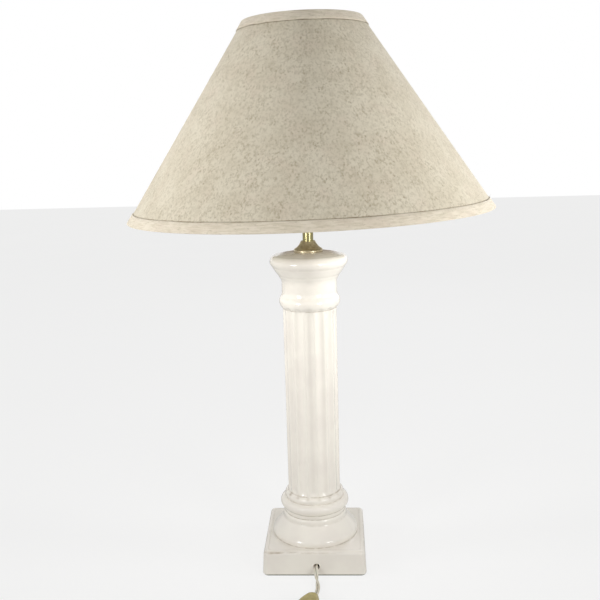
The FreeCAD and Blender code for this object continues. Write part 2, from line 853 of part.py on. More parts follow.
spider_ring_z = shade_top_z - size("trim_thickness") - size("ring_wire") / 2
fabric_inset = size("trim_thickness") + size("glue_gap")
skin = fabric_inset + size("fabric_thickness") + size("glue_gap")
ring_inset = skin + size("liner_thickness") + size("glue_gap") + size("ring_wire") / 2


def spider_ring_radius():
    return shade_radius(spider_ring_z, ring_inset)


def spider_arms(name, thicker):
    """The three arms, which run from the washer to the top ring, or cutters a little thicker and longer."""
    wire = SIZES["spider_wire"] / 2
    start = Vector(SIZES["spider_washer_radius"] - wire, 0, (washer_low + washer_top).value / 2)
    reach = spider_ring_radius().value - SIZES["ring_wire"] / 2 - SIZES["glue_gap"]
    end = Vector(reach, 0, spider_ring_z.value)
    along = end - start
    arms = []
    for i in range(SIZES["spider_arms"]):
        turn = Rotation(Vector(0, 0, 1), SIZES["spider_turn"] + 360.0 / SIZES["spider_arms"] * i)
        arm = doc.addObject("Part::Cylinder", f"{name}_{i + 1}")
        arm.setExpression("Radius", (size("spider_wire") / 2 + thicker).text)
        arm.Height = along.Length + 2 * Size.of(thicker).value
        arm.Placement = Placement(turn.multVec(start), turn.multiply(Rotation(Vector(0, 0, 1), along)))
        arms.append(arm)
    return arms


def shade_spider():
    washer = disc_with_hole("spider_washer", size("spider_washer_radius"), spider_bore,
                            size("spider_washer_thickness"), washer_low)
    fuse = doc.addObject("Part::MultiFuse", "shade_spider")
    fuse.Shapes = [washer] + spider_arms("spider_arm", 0.0)
    fuse.Label = "shade_spider"
    return lean(fuse)


def wire_ring(label, z):
    ring = doc.addObject("Part::Torus", f"{label}_torus")
    ring.setExpression("Radius1", shade_radius(z, ring_inset).text)
    ring.setExpression("Radius2", (size("ring_wire") / 2).text)
    ring.setExpression("Placement.Base.z", z.text)
    holder = doc.addObject("Part::Compound", label)
    holder.Links = [ring]
    holder.Label = label
    return lean(holder)


def cone_wall(label, inset, thickness):
    """A conical sheet between the shade's two edges."""
    low = shade_bottom_z + fabric_inset
    high = shade_top_z - fabric_inset
    return lean(turned(label, [
        to(shade_radius(low, inset + thickness), low),
        to(shade_radius(low, inset), low),
        to(shade_radius(high, inset), high),
        to(shade_radius(high, inset + thickness), high),
    ]))


def trim(label, edge_z, side):
    """A folded band on one edge of the shade: outside, over the edge and back up inside."""
    thickness = size("trim_thickness")
    inner = ring_inset + size("ring_wire") / 2 + size("glue_gap")
    width = size("trim_width") * side
    back = size("trim_return") * side
    fold = edge_z + thickness * side
    corners = [
        to(shade_radius(edge_z, inner + thickness), edge_z),
        to(shade_radius(edge_z, 0), edge_z),
        to(shade_radius(edge_z + width, 0), edge_z + width),
        to(shade_radius(edge_z + width, thickness), edge_z + width),
        to(shade_radius(fold, thickness), fold),
        to(shade_radius(fold, inner), fold),
        to(shade_radius(edge_z + back, inner), edge_z + back),
        to(shade_radius(edge_z + back, inner + thickness), edge_z + back),
    ]
    return turned(label, corners)


def bottom_trim():
    return lean(trim("bottom_trim", shade_bottom_z, 1.0))


def top_trim():
    """The upper band, notched inside where the spider's arms pass."""
    band = trim("top_band", shade_top_z, -1.0)
    ways = doc.addObject("Part::Compound", "arm_ways")
    ways.Links = spider_arms("arm_way", size("notch_gap"))
    return lean(cut("top_trim", band, ways))


def finial():
    flange, neck, ball = size("finial_flange_radius"), size("finial_neck_radius"), size("finial_ball_radius")
    bore = size("stud_thread_radius") + size("finial_running")
    top = finial_low + size("finial_height")
    ball_z = top - ball
    waist = ball_z - leg(ball, neck)
    return lean(turned("finial", [
        to(bore, finial_low),
        to(flange, finial_low),
        to(flange, finial_low + size("finial_flange_height")),
        bend(neck, finial_low + size("finial_neck_low"), size("finial_cove"), RIGHT),
        to(neck, waist),
        bend(ball, ball_z, ball, LEFT),
        bend(0, top, ball, LEFT),
        to(0, stud_top + size("finial_hollow")),
        to(bore, stud_top + size("finial_hollow")),
    ]))


# ---- socket and bulb -------------------------------------------------------------------------------------

cap_floor = socket_z + size("hub_height")
cap_rim = socket_z + size("socket_cap_height")
shell_low = cap_rim - size("shell_overlap")
shell_top = shell_low + size("socket_shell_height")
core_low = cap_floor + 2 * size("brass_sheet") + size("hub_height")
core_top = core_low + size("core_height")
contact_top = core_top + size("contact_height")
bulb_foot = contact_top + size("bulb_seat_gap")
bulb_collar = bulb_foot + size("bulb_base_height")
bulb_top = bulb_foot + size("bulb_length")


def socket_cap():
    outer, hub, sheet_t = size("socket_cap_radius"), size("hub_radius"), size("brass_sheet")
    curve = size("socket_cap_round")
    bore = size("pipe_radius") + size("thread_running")
    return turned("socket_cap", [
        to(bore, socket_z),
        to(hub, socket_z),
        to(hub, cap_floor),
        to(outer - curve, cap_floor),
        bend(outer, cap_floor + curve, curve, LEFT),
        to(outer, cap_rim),
        to(outer - sheet_t, cap_rim),
        to(outer - sheet_t, cap_floor + curve),
        bend(outer - curve, cap_floor + sheet_t, curve - sheet_t, RIGHT),
        to(bore, cap_floor + sheet_t),
    ])


def tube(label, outer, wall, low, high):
    return turned(label, [to(outer - wall, low), to(outer, low), to(outer, high), to(outer - wall, high)])


def socket_shell():
    outer, wall = size("socket_shell_radius"), size("brass_sheet")
    lip = wall
    return turned("socket_shell", [
        to(outer - wall, shell_low), to(outer, shell_low),
        to(outer, shell_top - 3 * lip), to(outer + lip, shell_top - 3 * lip), to(outer + lip, shell_top),
        to(outer - wall, shell_top),
    ])


def socket_core():
    core, chamfer = size("core_radius"), size("core_chamfer")
    return turned("socket_core", [
        to(0, core_low), to(core - chamfer, core_low), to(core, core_low + chamfer),
        to(core, core_top), to(0, core_top),
    ])


def screw_shell():
    outer, wall = size("screw_shell_radius") + size("screw_shell_wall"), size("screw_shell_wall")
    window = size("bulb_tip_radius") + size("contact_gap")
    return turned("screw_shell", [
        to(window, core_top),
        to(outer, core_top),
        to(outer, core_top + size("screw_shell_height")),
        to(outer - wall, core_top + size("screw_shell_height")),
        to(outer - wall, core_top + wall),
        to(window, core_top + wall),
    ])


def centre_contact():
    box = doc.addObject("Part::Box", "centre_contact")
    box.Label = "centre_contact"
    width = size("contact_width")
    for prop, value in (("Length", width), ("Width", width), ("Height", size("contact_height"))):
        box.setExpression(prop, value.text)
    for axis, value in (("x", -width / 2), ("y", -width / 2), ("z", core_top)):
        box.setExpression(f"Placement.Base.{axis}", value.text)
    return box


def terminal_screws():
    """The two wire screws on the flanks of the core."""
    screws = []
    for i, side in enumerate((1.0, -1.0)):
        screw = doc.addObject("Part::Cylinder", f"terminal_screw_{i + 1}")
        screw.setExpression("Radius", size("terminal_screw_radius").text)
        screw.setExpression("Height", size("terminal_screw_height").text)
        place = Vector(side * SIZES["core_radius"], 0, (core_low + core_top).value / 2)
        screw.Placement = Placement(place, Rotation(Vector(0, 0, 1), Vector(side, 0, 0)))
        screws.append(screw)
    group = doc.addObject("Part::Compound", "terminal_screws")
    group.Links = screws
    group.Label = "terminal_screws"
    return group


def bulb_base():
    base, tip, tip_h = size("bulb_base_radius"), size("bulb_tip_radius"), size("bulb_tip_height")
    return turned("bulb_base", [
        to(0, bulb_foot), to(tip, bulb_foot), to(tip + size("bulb_tip_slope"), bulb_foot + tip_h / 2),
        to(base, bulb_foot + tip_h), to(base, bulb_collar), to(0, bulb_collar),
    ])


def bulb_glass():
    """A pear-shaped glass envelope: a neck that swells into a ball."""
    ball, wall, base = size("bulb_radius"), size("bulb_wall"), size("bulb_base_radius")
    ball_z = bulb_top - ball
    neck_z = bulb_collar + size("bulb_collar_height")
    shoulder = math.radians(SIZES["bulb_shoulder"])
    out, down = math.cos(shoulder), math.sin(shoulder)
    return turned("bulb_glass", [
        to(0, bulb_collar),
        to(base, bulb_collar),
        to(base, neck_z),
        bend(ball * out, ball_z - ball * down, size("bulb_swell"), RIGHT),
        bend(ball, ball_z, ball, LEFT),
        bend(0, bulb_top, ball, LEFT),
        to(0, bulb_top - wall),
        bend(ball - wall, ball_z, ball - wall, RIGHT),
        bend((ball - wall) * out, ball_z - (ball - wall) * down, ball - wall, RIGHT),
        bend(base - wall, neck_z, size("bulb_swell") + wall, LEFT),
        to(base - wall, bulb_collar + wall),
        to(0, bulb_collar + wall),
    ])


# ---- in-line rotary switch, drawn along +X from its cord entry, then placed ------------------------------

switch_mid = size("switch_height") / 2
switch_centre = size("switch_length") / 2


def put(obj, x, y, heading):
    """Sets an object that is drawn along +X down on the table, pointing along its heading."""
    obj.Placement = Placement(Vector(x.value, y.value, 0), Rotation(Vector(0, 0, 1), heading.value))
    obj.setExpression("Placement.Base.x", x.text)
    obj.setExpression("Placement.Base.y", y.text)
    obj.setExpression("Placement.Rotation.Angle", f"{heading.text} * 1 deg")
    return obj


def on_switch(obj):
    return put(obj, size("switch_x"), size("switch_y"), size("switch_heading"))


def oval_plan():
    """The switch seen from above: an oval of four arcs that run into each other."""
    a, b, end = size("switch_length") / 2, size("switch_half_width"), size("switch_end_round")
    along = a - end
    side = (along * along + b * b - end * end) / (2 * (b - end))
    x = along + end * along / (side - end)
    y = end * (side - b) / (side - end)
    return [
        bend(a + x, -y, side, LEFT),
        bend(a + x, y, end, LEFT),
        bend(a - x, y, side, LEFT),
        bend(a - x, -y, end, LEFT),
    ]


def switch_screw_outline():
    head = size("switch_screw_radius")
    low = size("switch_recess")
    high = low + size("switch_screw_length")
    return [
        to(0, low), to(head, low), to(head / 2, low + head / 2), to(head / 2, high), to(0, high),
    ]


def switch_half(label, low, high, edge):
    """One moulded half: a slot for the wheel, a seat for its axle, holes for the screw and both cord ends."""
    body = new_body(label)
    plan = new_sketch(body, "plan", "XY_Plane")
    place_sketch(plan, z=low)
    draw_outline(plan, oval_plan())
    block = pad(body, plan, high - low)
    outer_z = 0.0 if low.value == 0.0 else high.value
    round_edges(body, block, edge, at_height(outer_z))

    slot_low = switch_mid - size("wheel_thickness") / 2 - size("wheel_gap") / 2
    room = new_sketch(body, "room", "XY_Plane")
    place_sketch(room, z=slot_low)
    draw_circle(room, switch_centre, size("wheel_offset"), size("wheel_radius") + size("wheel_gap"))
    pocket(body, room, size("wheel_thickness") + size("wheel_gap"), backwards=True)
    seat = new_sketch(body, "axle_seat", "XY_Plane")
    place_sketch(seat, z=size("switch_wall"))
    draw_circle(seat, switch_centre, size("wheel_offset"), size("axle_radius"))
    pocket(body, seat, size("switch_height") - size("switch_wall") * 2, backwards=True)
    revolve(body, "screw_hole", switch_screw_outline(), cut=True, x=size("switch_screw_place"))
    if low.value == 0.0:
        sink = new_sketch(body, "sink", "XY_Plane")
        draw_circle(sink, size("switch_screw_place"), 0, size("switch_screw_radius"))
        pocket(body, sink, size("switch_recess"), backwards=True)
    for name, x in (("entry", Size.of(0.0)), ("exit", size("switch_length") - size("cord_insertion"))):
        way = new_sketch(body, name, "YZ_Plane")
        place_sketch(way, z=x)
        draw_circle(way, 0, switch_mid, size("cord_diameter") / 2 + size("glue_gap"))
        pocket(body, way, size("cord_insertion"), backwards=True)
    return on_switch(body)


def switch_wheel():
    """The notched thumb wheel, which shows past the side of the switch."""
    body = new_body("switch_wheel")
    low = switch_mid - size("wheel_thickness") / 2
    plan = new_sketch(body, "plan", "XY_Plane")
    place_sketch(plan, z=low)
    draw_circle(plan, 0, 0, size("wheel_radius"))
    draw_circle(plan, 0, 0, size("axle_radius") + size("axle_running"))
    pad(body, plan, size("wheel_thickness"))
    notch = new_sketch(body, "notch", "XY_Plane")
    place_sketch(notch, z=low)
    draw_circle(notch, size("wheel_radius") + size("wheel_notch_radius") / 4, 0, size("wheel_notch_radius"))
    groove = pocket(body, notch, size("wheel_thickness"), backwards=True)
    repeat_round(body, groove, size("wheel_notches"))
    return on_wheel_centre(body)


def switch_axle():
    low = size("switch_wall")
    return on_wheel_centre(cylinder("switch_axle", size("axle_radius"), size("switch_height") - 2 * low, low))


def on_wheel_centre(obj):
    """Sets an object that is drawn on the Z axis at the wheel's centre in the switch."""
    along, across = SIZES["switch_length"] / 2, SIZES["wheel_offset"]
    turn = Rotation(Vector(0, 0, 1), SIZES["switch_heading"])
    offset = turn.multVec(Vector(along, across, 0))
    height = obj.Placement.Base.z
    obj.Placement.Base = Vector(SIZES["switch_x"], SIZES["switch_y"], height) + offset
    heading = "Sizes.switch_heading * 1 deg"
    x = f"Sizes.switch_x + Sizes.switch_length / 2 * cos({heading}) - Sizes.wheel_offset * sin({heading})"
    y = f"Sizes.switch_y + Sizes.switch_length / 2 * sin({heading}) + Sizes.wheel_offset * cos({heading})"
    obj.setExpression("Placement.Base.x", x)
    obj.setExpression("Placement.Base.y", y)
    return obj


def switch_screw():
    """The countersunk screw that holds the halves together from below."""
    body = new_body("switch_screw")
    revolve(body, "profile", switch_screw_outline(), x=size("switch_screw_place"))
    return on_switch(body)


# ---- cord ------------------------------------------------------------------------------------------------

CORD_SIDES = 6    # the cord's solid is a six-sided tube
ARC_SHARE = 0.45  # of the shorter run beside a corner, taken up by its arc


def cord_section(place, along):
    """A section with flat sides, of the cord's diameter, square to its direction."""
    radius = SIZES["cord_diameter"] / 2
    frame = Rotation(Vector(0, 0, 1), along)
    corners = []
    for i in range(CORD_SIDES + 1):
        a = 2 * math.pi * (i % CORD_SIDES) / CORD_SIDES
        corners.append(place + frame.multVec(Vector(radius * math.cos(a), radius * math.sin(a), 0)))
    return Part.makePolygon(corners)


def section_area():
    return CORD_SIDES / 2 * (SIZES["cord_diameter"] / 2) ** 2 * math.sin(2 * math.pi / CORD_SIDES)


def sweep(label, edges):
    """Sweeps the cord's section along edges that follow each other, and compares its volume."""
    wire = Part.Wire(edges)
    first = edges[0]
    start = first.valueAt(first.FirstParameter)
    along = first.tangentAt(first.FirstParameter)
    solid = wire.makePipeShell([cord_section(start, along)], True, False)
    expected = section_area() * wire.Length
    print(f"{label}: length {wire.Length:.1f} mm, volume {solid.Volume:.0f} of {expected:.0f} mm3")
    obj = doc.addObject("Part::Feature", label)
    obj.Label = label
    obj.Shape = solid
    return obj


def route_edges(label, points):
    """Straight runs joined by tangent arcs, each as large as its two runs allow."""
    points = [Vector(*p) for p in points]
    edges, here, radii = [], points[0], []
    for i in range(1, len(points) - 1):
        before, at, after = points[i - 1], points[i], points[i + 1]
        run_in, run_out = at - before, after - at
        turn = run_in.getAngle(run_out)
        radius = ARC_SHARE * min(run_in.Length, run_out.Length) / math.tan(turn / 2)
        back = radius * math.tan(turn / 2)
        u, v = Vector(run_in).normalize(), Vector(run_out).normalize()
        start, end = at - u * back, at + v * back
        toward = (v - u).normalize()
        middle = at + toward * (radius / math.cos(turn / 2) - radius)
        edges.append(Part.LineSegment(here, start).toShape())
        edges.append(Part.Arc(start, middle, end).toShape())
        here = end
        radii.append(round(radius, 1))
    edges.append(Part.LineSegment(here, points[-1]).toShape())
    print(f"{label}: bend radii {radii}")
    return edges


def biarc(p0, t0, p1, t1):
    """Two arcs that join two places with the given directions."""
    v, t = p1 - p0, t0 + t1
    spread = 2 * (1 - t0.dot(t1))
    if spread < 1e-9:
        return [Part.LineSegment(p0, p1).toShape()]
    d = (-v.dot(t) + math.sqrt(v.dot(t) ** 2 + spread * v.dot(v))) / spread
    joint = (p0 + p1 + (t0 - t1) * d) * 0.5
    mid_dir = (joint - p0 - t0 * d + (p1 - t1 * d - joint)).normalize()

    def arc(start, direction, end):
        chord = end - start
        half = direction.getAngle(chord)
        side = (direction * chord.Length - Vector(chord) * math.cos(half))
        if side.Length < 1e-9:
            return Part.LineSegment(start, end).toShape()
        sagitta = chord.Length / 2 * math.tan(half / 2)
        return Part.Arc(start, (start + end) * 0.5 + side.normalize() * sagitta, end).toShape()

    return [arc(p0, t0, joint), arc(joint, mid_dir, p1)]


def coil_line():
    """Points and directions of the coil at each quarter turn: layers that spiral in and out again."""
    turns, layers = int(SIZES["coil_turns_in_layer"]), int(SIZES["coil_layers"])
    pitch, rise = SIZES["coil_pitch"], SIZES["coil_layer"]
    widest = SIZES["coil_mean_radius"] + pitch * turns / 2
    centre = Vector(SIZES["coil_x"], SIZES["coil_y"], SIZES["cord_diameter"] / 2)
    layer_turns = turns
    climb = 0.5

    def radius_at(turn):
        layer, part = divmod(turn, layer_turns)
        part = part if layer < layers else float(layer_turns)
        layer = min(layer, layers - 1)
        inward = layer % 2 == 0
        depth = part if inward else layer_turns - part
        return widest - pitch * depth

    def height_at(turn):
        z = 0.0
        for layer in range(1, layers):
            start = layer * layer_turns - climb / 2
            part = min(max((turn - start) / climb, 0.0), 1.0)
            z += rise * part * part * (3 - 2 * part)
        return z

    def place(turn):
        a = math.pi + 2 * math.pi * turn
        r = radius_at(turn)
        return centre + Vector(r * math.cos(a), r * math.sin(a), height_at(turn))

    step = 0.25
    count = int(round(layers * layer_turns / step))
    stations = []
    for i in range(count + 1):
        turn = i * step
        near = 0.002
        low, high = max(turn - near, 0.0), min(turn + near, layers * layer_turns)
        stations.append((place(turn), (place(high) - place(low)).normalize()))
    return stations


def least_gap(edges, per_edge, apart):
    """The least gap between the surfaces of turns that lie a distance apart along the line."""
    points, run = [], 0.0
    for e in edges:
        for p in e.discretize(per_edge)[:-1]:
            if points:
                run += (p - points[-1][0]).Length
            points.append((p, run))
    nearest = apart
    for i, (p, s) in enumerate(points):
        for q, t in points[i + 1:]:
            if t - s > apart:
                nearest = min(nearest, (p - q).Length)
    return nearest - SIZES["cord_diameter"]


def coil_edges():
    stations = coil_line()
    edges = []
    for (p0, t0), (p1, t1) in zip(stations, stations[1:]):
        edges += biarc(p0, t0, p1, t1)
    start, end = stations[0], stations[-1]
    straight = SIZES["cord_diameter"]
    lead_in = Part.LineSegment(start[0] - start[1] * straight, start[0]).toShape()
    lead_out = Part.LineSegment(end[0], end[0] + end[1] * straight).toShape()
    return [lead_in] + edges + [lead_out]


def end_of(edges, last):
    e = edges[-1] if last else edges[0]
    return e.valueAt(e.LastParameter if last else e.FirstParameter)


def triple(v):
    return (v.x, v.y, v.z)


table = SIZES["cord_diameter"] / 2
exit_place = (SIZES["cord_exit_side"], -SIZES["plinth_side"] / 2, SIZES["cord_exit_height"])
switch_in = Vector(SIZES["switch_x"], SIZES["switch_y"], SIZES["switch_height"] / 2)
switch_way = Rotation(Vector(0, 0, 1), SIZES["switch_heading"]).multVec(Vector(1, 0, 0))
switch_out = switch_in + switch_way * SIZES["switch_length"]
inserted = switch_way * SIZES["cord_insertion"]

# inside the lamp: down the pipe, round in the well and out to the hole in the plinth
riser_route = [
    (0, 0, core_low.value - 0.2),
    (0, 0, 1.2 + table),
    (1.1, -33.5, 3.2 + table),
    (1.5, -49.5, SIZES["cord_exit_height"] + 1.75),
    exit_place,
]
# from the hole down to the table and up into the switch
lead_route = [
    exit_place,
    (2.188, -71.5, 11.244),
    (2.9, -79.5, 5.2),
    (4.2, -87.5, 2.75),
    (5.2, -95.5, table),
    (4.9, -103.0, 3.1),
    (4.2, -113.5, 5.7),
    (3.4, -124.0, 9.3),
    triple(switch_in + inserted),
]


def cords():
    coil = coil_edges()
    coil_start, coil_end = end_of(coil, False), end_of(coil, True)
    plug_way = Rotation(Vector(0, 0, 1), SIZES["plug_heading"]).multVec(Vector(1, 0, 0))
    plug_in = Vector(SIZES["plug_x"], SIZES["plug_y"], SIZES["plug_height"] / 2)
    run_route = [
        triple(switch_out - inserted),
        triple(switch_out + switch_way * 5.0 - Vector(0, 0, 0.2)),
        (-19.0, -205.0, 5.6),
        (-21.6, -215.0, 3.0),
        (-24.6, -226.0, table),
        (coil_start.x - 0.6, coil_start.y + 14.0, table),
        (coil_start.x, coil_start.y + 6.0, table),
        triple(coil_start),
    ]
    tail_route = [
        triple(coil_end),
        (coil_end.x + 0.5, coil_end.y - 12.0, coil_end.z - 1.2),
        (-22.0, -284.0, 15.4),
        (-9.0, -300.0, 9.0),
        (10.0, -309.0, 4.0),
        (29.0, -306.0, table),
        (43.0, -293.0, table),
        (50.5, -274.0, table),
        (53.5, -255.0, 3.6),
        (55.2, -240.0, 5.2),
        triple(plug_in - plug_way * 9.0),
        triple(plug_in),
    ]
    print(f"least gap in the coil: {least_gap(coil, 8, 4 * SIZES['cord_diameter']):.2f} mm")
    return [
        sweep("cord_riser", route_edges("cord_riser", riser_route)),
        sweep("cord_lead", route_edges("cord_lead", lead_route)),
        sweep("cord_run", route_edges("cord_run", run_route)),
        sweep("cord_coil", coil),
        sweep("cord_tail", route_edges("cord_tail", tail_route)),
    ]


# ---- plug, drawn along +X from its cord end --------------------------------------------------------------

def on_plug(obj):
    return put(obj, size("plug_x"), size("plug_y"), size("plug_heading"))


def plug_body():
    body = new_body("plug_body")
    length, shoulder, neck = size("plug_length"), size("plug_shoulder"), size("plug_neck")
    half, neck_half, back = size("plug_width") / 2, size("plug_neck_width") / 2, size("plug_end_width") / 2
    plan = new_sketch(body, "plan", "XY_Plane")
    draw_outline(plan, [
        to(0, -back), to(neck, -neck_half), to(shoulder, -half), to(length, -half),
        to(length, half), to(shoulder, half), to(neck, neck_half), to(0, back),
    ])
    block = pad(body, plan, size("plug_height"))

    def around_grip(edge):
        flat = abs(edge.BoundBox.ZMin - edge.BoundBox.ZMax) < 0.01
        return flat and edge.CenterOfMass.x < length.value - SIZES["plug_edge"]

    round_edges(body, block, size("plug_edge"), around_grip)
    return on_plug(body)


def plug_blades():
    blades = []
    for i, side in enumerate((1.0, -1.0)):
        blade = doc.addObject("Part::Box", f"plug_blade_{i + 1}")
        blade.setExpression("Length", size("blade_length").text)
        blade.setExpression("Width", size("blade_thickness").text)
        blade.setExpression("Height", size("blade_width").text)
        y = side * size("blade_spacing") / 2 - size("blade_thickness") / 2
        z = size("plug_height") / 2 - size("blade_width") / 2
        for axis, value in (("x", size("plug_length")), ("y", y), ("z", z)):
            blade.setExpression(f"Placement.Base.{axis}", value.text)
        blades.append(blade)
    group = doc.addObject("Part::Compound", "plug_blades")
    group.Links = blades
    group.Label = "plug_blades"
    return on_plug(group)


# ---- build, check, write ---------------------------------------------------------------------------------

def build():
    parts = [
        column_body(),
        felt_pad(),
        disc_with_hole("lamp_pipe", size("pipe_radius"), size("pipe_bore_radius"),
                       pipe_top - pipe_foot, pipe_foot),
        disc_with_hole("base_washer", size("washer_radius"), pipe_way,
                       size("washer_thickness"), base_washer_z),
        disc_with_hole("lock_washer", size("lock_washer_radius"), pipe_way,
                       size("lock_washer_thickness"), lock_washer_z),
        pipe_nut(),
        vase_cap(),
        neck_tube(),
        harp_saddle(),
        harp_bow(),
        ferrule("ferrule_right", 1.0),
        ferrule("ferrule_left", -1.0),
        swivel_stud(),
        shade_spider(),
        wire_ring("shade_top_ring", spider_ring_z),
        wire_ring("shade_bottom_ring", shade_bottom_z + size("trim_thickness") + size("ring_wire") / 2),
        cone_wall("shade_liner", skin, size("liner_thickness")),
        cone_wall("shade_fabric", fabric_inset, size("fabric_thickness")),
        top_trim(),
        bottom_trim(),
        finial(),
        socket_cap(),
        socket_shell(),
        tube("socket_liner", size("socket_shell_radius") - size("brass_sheet"), size("liner_tube"),
             shell_low, shell_top - size("brass_sheet")),
        socket_core(),
        screw_shell(),
        centre_contact(),
        terminal_screws(),
        bulb_base(),
        bulb_glass(),
        switch_half("switch_bottom", Size.of(0.0), switch_mid, size("switch_foot_edge")),
        switch_half("switch_top", switch_mid, size("switch_height"), size("switch_edge")),
        switch_screw(),
    ]
    parts += [switch_wheel(), switch_axle()]
    parts += cords()
    parts += [plug_body(), plug_blades()]
    return parts


parts = build()
doc.recompute()

for obj in doc.Objects:
    if "Invalid" in obj.State or "Error" in obj.State:
        raise RuntimeError(f"{obj.Label} failed to build")
for obj in parts:
    if obj.Shape.isNull() or not obj.Shape.isValid() or not obj.Shape.Solids:
        raise RuntimeError(f"{obj.Label} has no valid solid")

os.makedirs("parts", exist_ok=True)
for obj in parts:
    obj.Shape.exportStep(f"parts/{obj.Label}.step")
print(f"{len(parts)} sub-parts; lean pivot at {pivot_z:.2f} mm, cap top {cap_top.value:.2f} mm")
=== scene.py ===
import bpy
import math
import numpy as np
from mathutils import Matrix, Vector


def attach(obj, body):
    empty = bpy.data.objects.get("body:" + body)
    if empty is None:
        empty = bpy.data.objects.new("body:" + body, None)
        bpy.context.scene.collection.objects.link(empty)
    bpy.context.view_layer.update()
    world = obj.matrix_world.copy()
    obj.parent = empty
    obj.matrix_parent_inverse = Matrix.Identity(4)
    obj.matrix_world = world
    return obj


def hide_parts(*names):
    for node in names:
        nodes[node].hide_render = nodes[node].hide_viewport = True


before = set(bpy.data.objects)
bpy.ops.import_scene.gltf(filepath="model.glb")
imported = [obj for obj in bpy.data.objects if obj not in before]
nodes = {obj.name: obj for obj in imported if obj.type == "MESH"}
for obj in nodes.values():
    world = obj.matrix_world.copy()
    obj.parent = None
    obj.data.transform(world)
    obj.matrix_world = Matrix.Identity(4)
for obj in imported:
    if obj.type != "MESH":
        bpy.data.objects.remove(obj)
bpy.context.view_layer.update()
scene = bpy.context.scene
scene.view_settings.view_transform = "Standard"
print("frame loaded:", len(nodes), "pieces from the workshop")

mm = 0.001


def paint(red, green, blue):  # a colour as seen on a screen, 0 to 255, for the shader
    def linear(c):
        c = c / 255
        return c / 12.92 if c <= 0.04045 else ((c + 0.055) / 1.055) ** 2.4
    return (linear(red), linear(green), linear(blue), 1.0)


# shader sums written as Python

class Signal:
    def __init__(self, finish, out):
        self.finish = finish
        self.out = out

    def __add__(self, other):
        return self.finish.sum("ADD", self, other)

    __radd__ = __add__

    def __sub__(self, other):
        return self.finish.sum("SUBTRACT", self, other)

    def __rsub__(self, other):
        return self.finish.sum("SUBTRACT", other, self)

    def __mul__(self, other):
        return self.finish.sum("MULTIPLY", self, other)

    __rmul__ = __mul__


class Finish:
    def __init__(self, name, **sockets):
        self.material = bpy.data.materials.new(name)
        self.material.use_nodes = True
        self.tree = self.material.node_tree
        self.tree.nodes.clear()
        self.surface = self.tree.nodes.new("ShaderNodeBsdfPrincipled")
        self.output = self.tree.nodes.new("ShaderNodeOutputMaterial")
        self.tree.links.new(self.surface.outputs[0], self.output.inputs[0])
        self.wear(**sockets)

    def feed(self, node, socket, value):
        target = node.inputs[socket]
        if isinstance(value, Signal):
            self.tree.links.new(value.out, target)
        else:
            target.default_value = value

    def node(self, kind, settings=None, sockets=None, out=0):
        made = self.tree.nodes.new("ShaderNode" + kind)
        for key, value in (settings or {}).items():
            setattr(made, key, value)
        for key, value in (sockets or {}).items():
            self.feed(made, key, value)
        return Signal(self, made.outputs[out])

    def sum(self, operation, first, second):
        return self.node("Math", {"operation": operation}, {0: first, 1: second})

    def wear(self, **sockets):  # sets the surface's own sockets, by name with _ for a space
        for socket, value in sockets.items():
            self.feed(self.surface, socket.replace("_", " "), value)

    def place(self, stretch=(1, 1, 1)):  # the piece's own place in millimetres
        raw = self.node("TexCoord", out="Object")
        scale = tuple(s / mm for s in stretch)
        return self.node("VectorMath", {"operation": "MULTIPLY"}, {0: raw, 1: scale})

    def noise(self, size, detail=2.0, rough=0.5, stretch=(1, 1, 1), warp=0.0):
        sockets = {"Vector": self.place(stretch), "Scale": 1 / size, "Detail": detail,
                   "Roughness": rough, "Distortion": warp}
        return self.node("TexNoise", None, sockets)

    def speckle(self, size, stretch=(1, 1, 1), jitter=1.0):
        sockets = {"Vector": self.place(stretch), "Scale": 1 / size, "Randomness": jitter}
        return self.node("TexVoronoi", None, sockets, out="Distance")

    def ramp(self, signal, low, high):  # 0 below low, 1 above high, eased between
        sockets = {"Value": signal, "From Min": low, "From Max": high}
        return self.node("MapRange", {"interpolation_type": "SMOOTHSTEP"}, sockets)

    def mark(self, name):  # a number kept on the mesh's own points
        return self.node("Attribute", {"attribute_name": name}, out="Fac")

    def mix(self, factor, first, second):
        return self.node("Mix", {"data_type": "RGBA"}, {0: factor, 6: first, 7: second}, out=2)

    def bump(self, height, depth, under=None, strength=1.0):  # depth in millimetres
        sockets = {"Height": height, "Distance": depth * mm, "Strength": strength}
        if under:
            sockets["Normal"] = under
        return self.node("Bump", None, sockets)


# glazed earthenware

glazeLook = {
    "body": paint(243, 238, 228),
    "cool": paint(237, 231, 222),
    # glaze collected in hollows and creases, and the painted shade in them
    "pooled": paint(158, 142, 116),
    "bare": paint(160, 138, 110),
    # brown for the unglazed inside and for dirt on the crown; it also paints shade on the crown's far side
    # and inside the cord's hole
    "stain": paint(140, 104, 52),
    "roughness": 0.06,
}


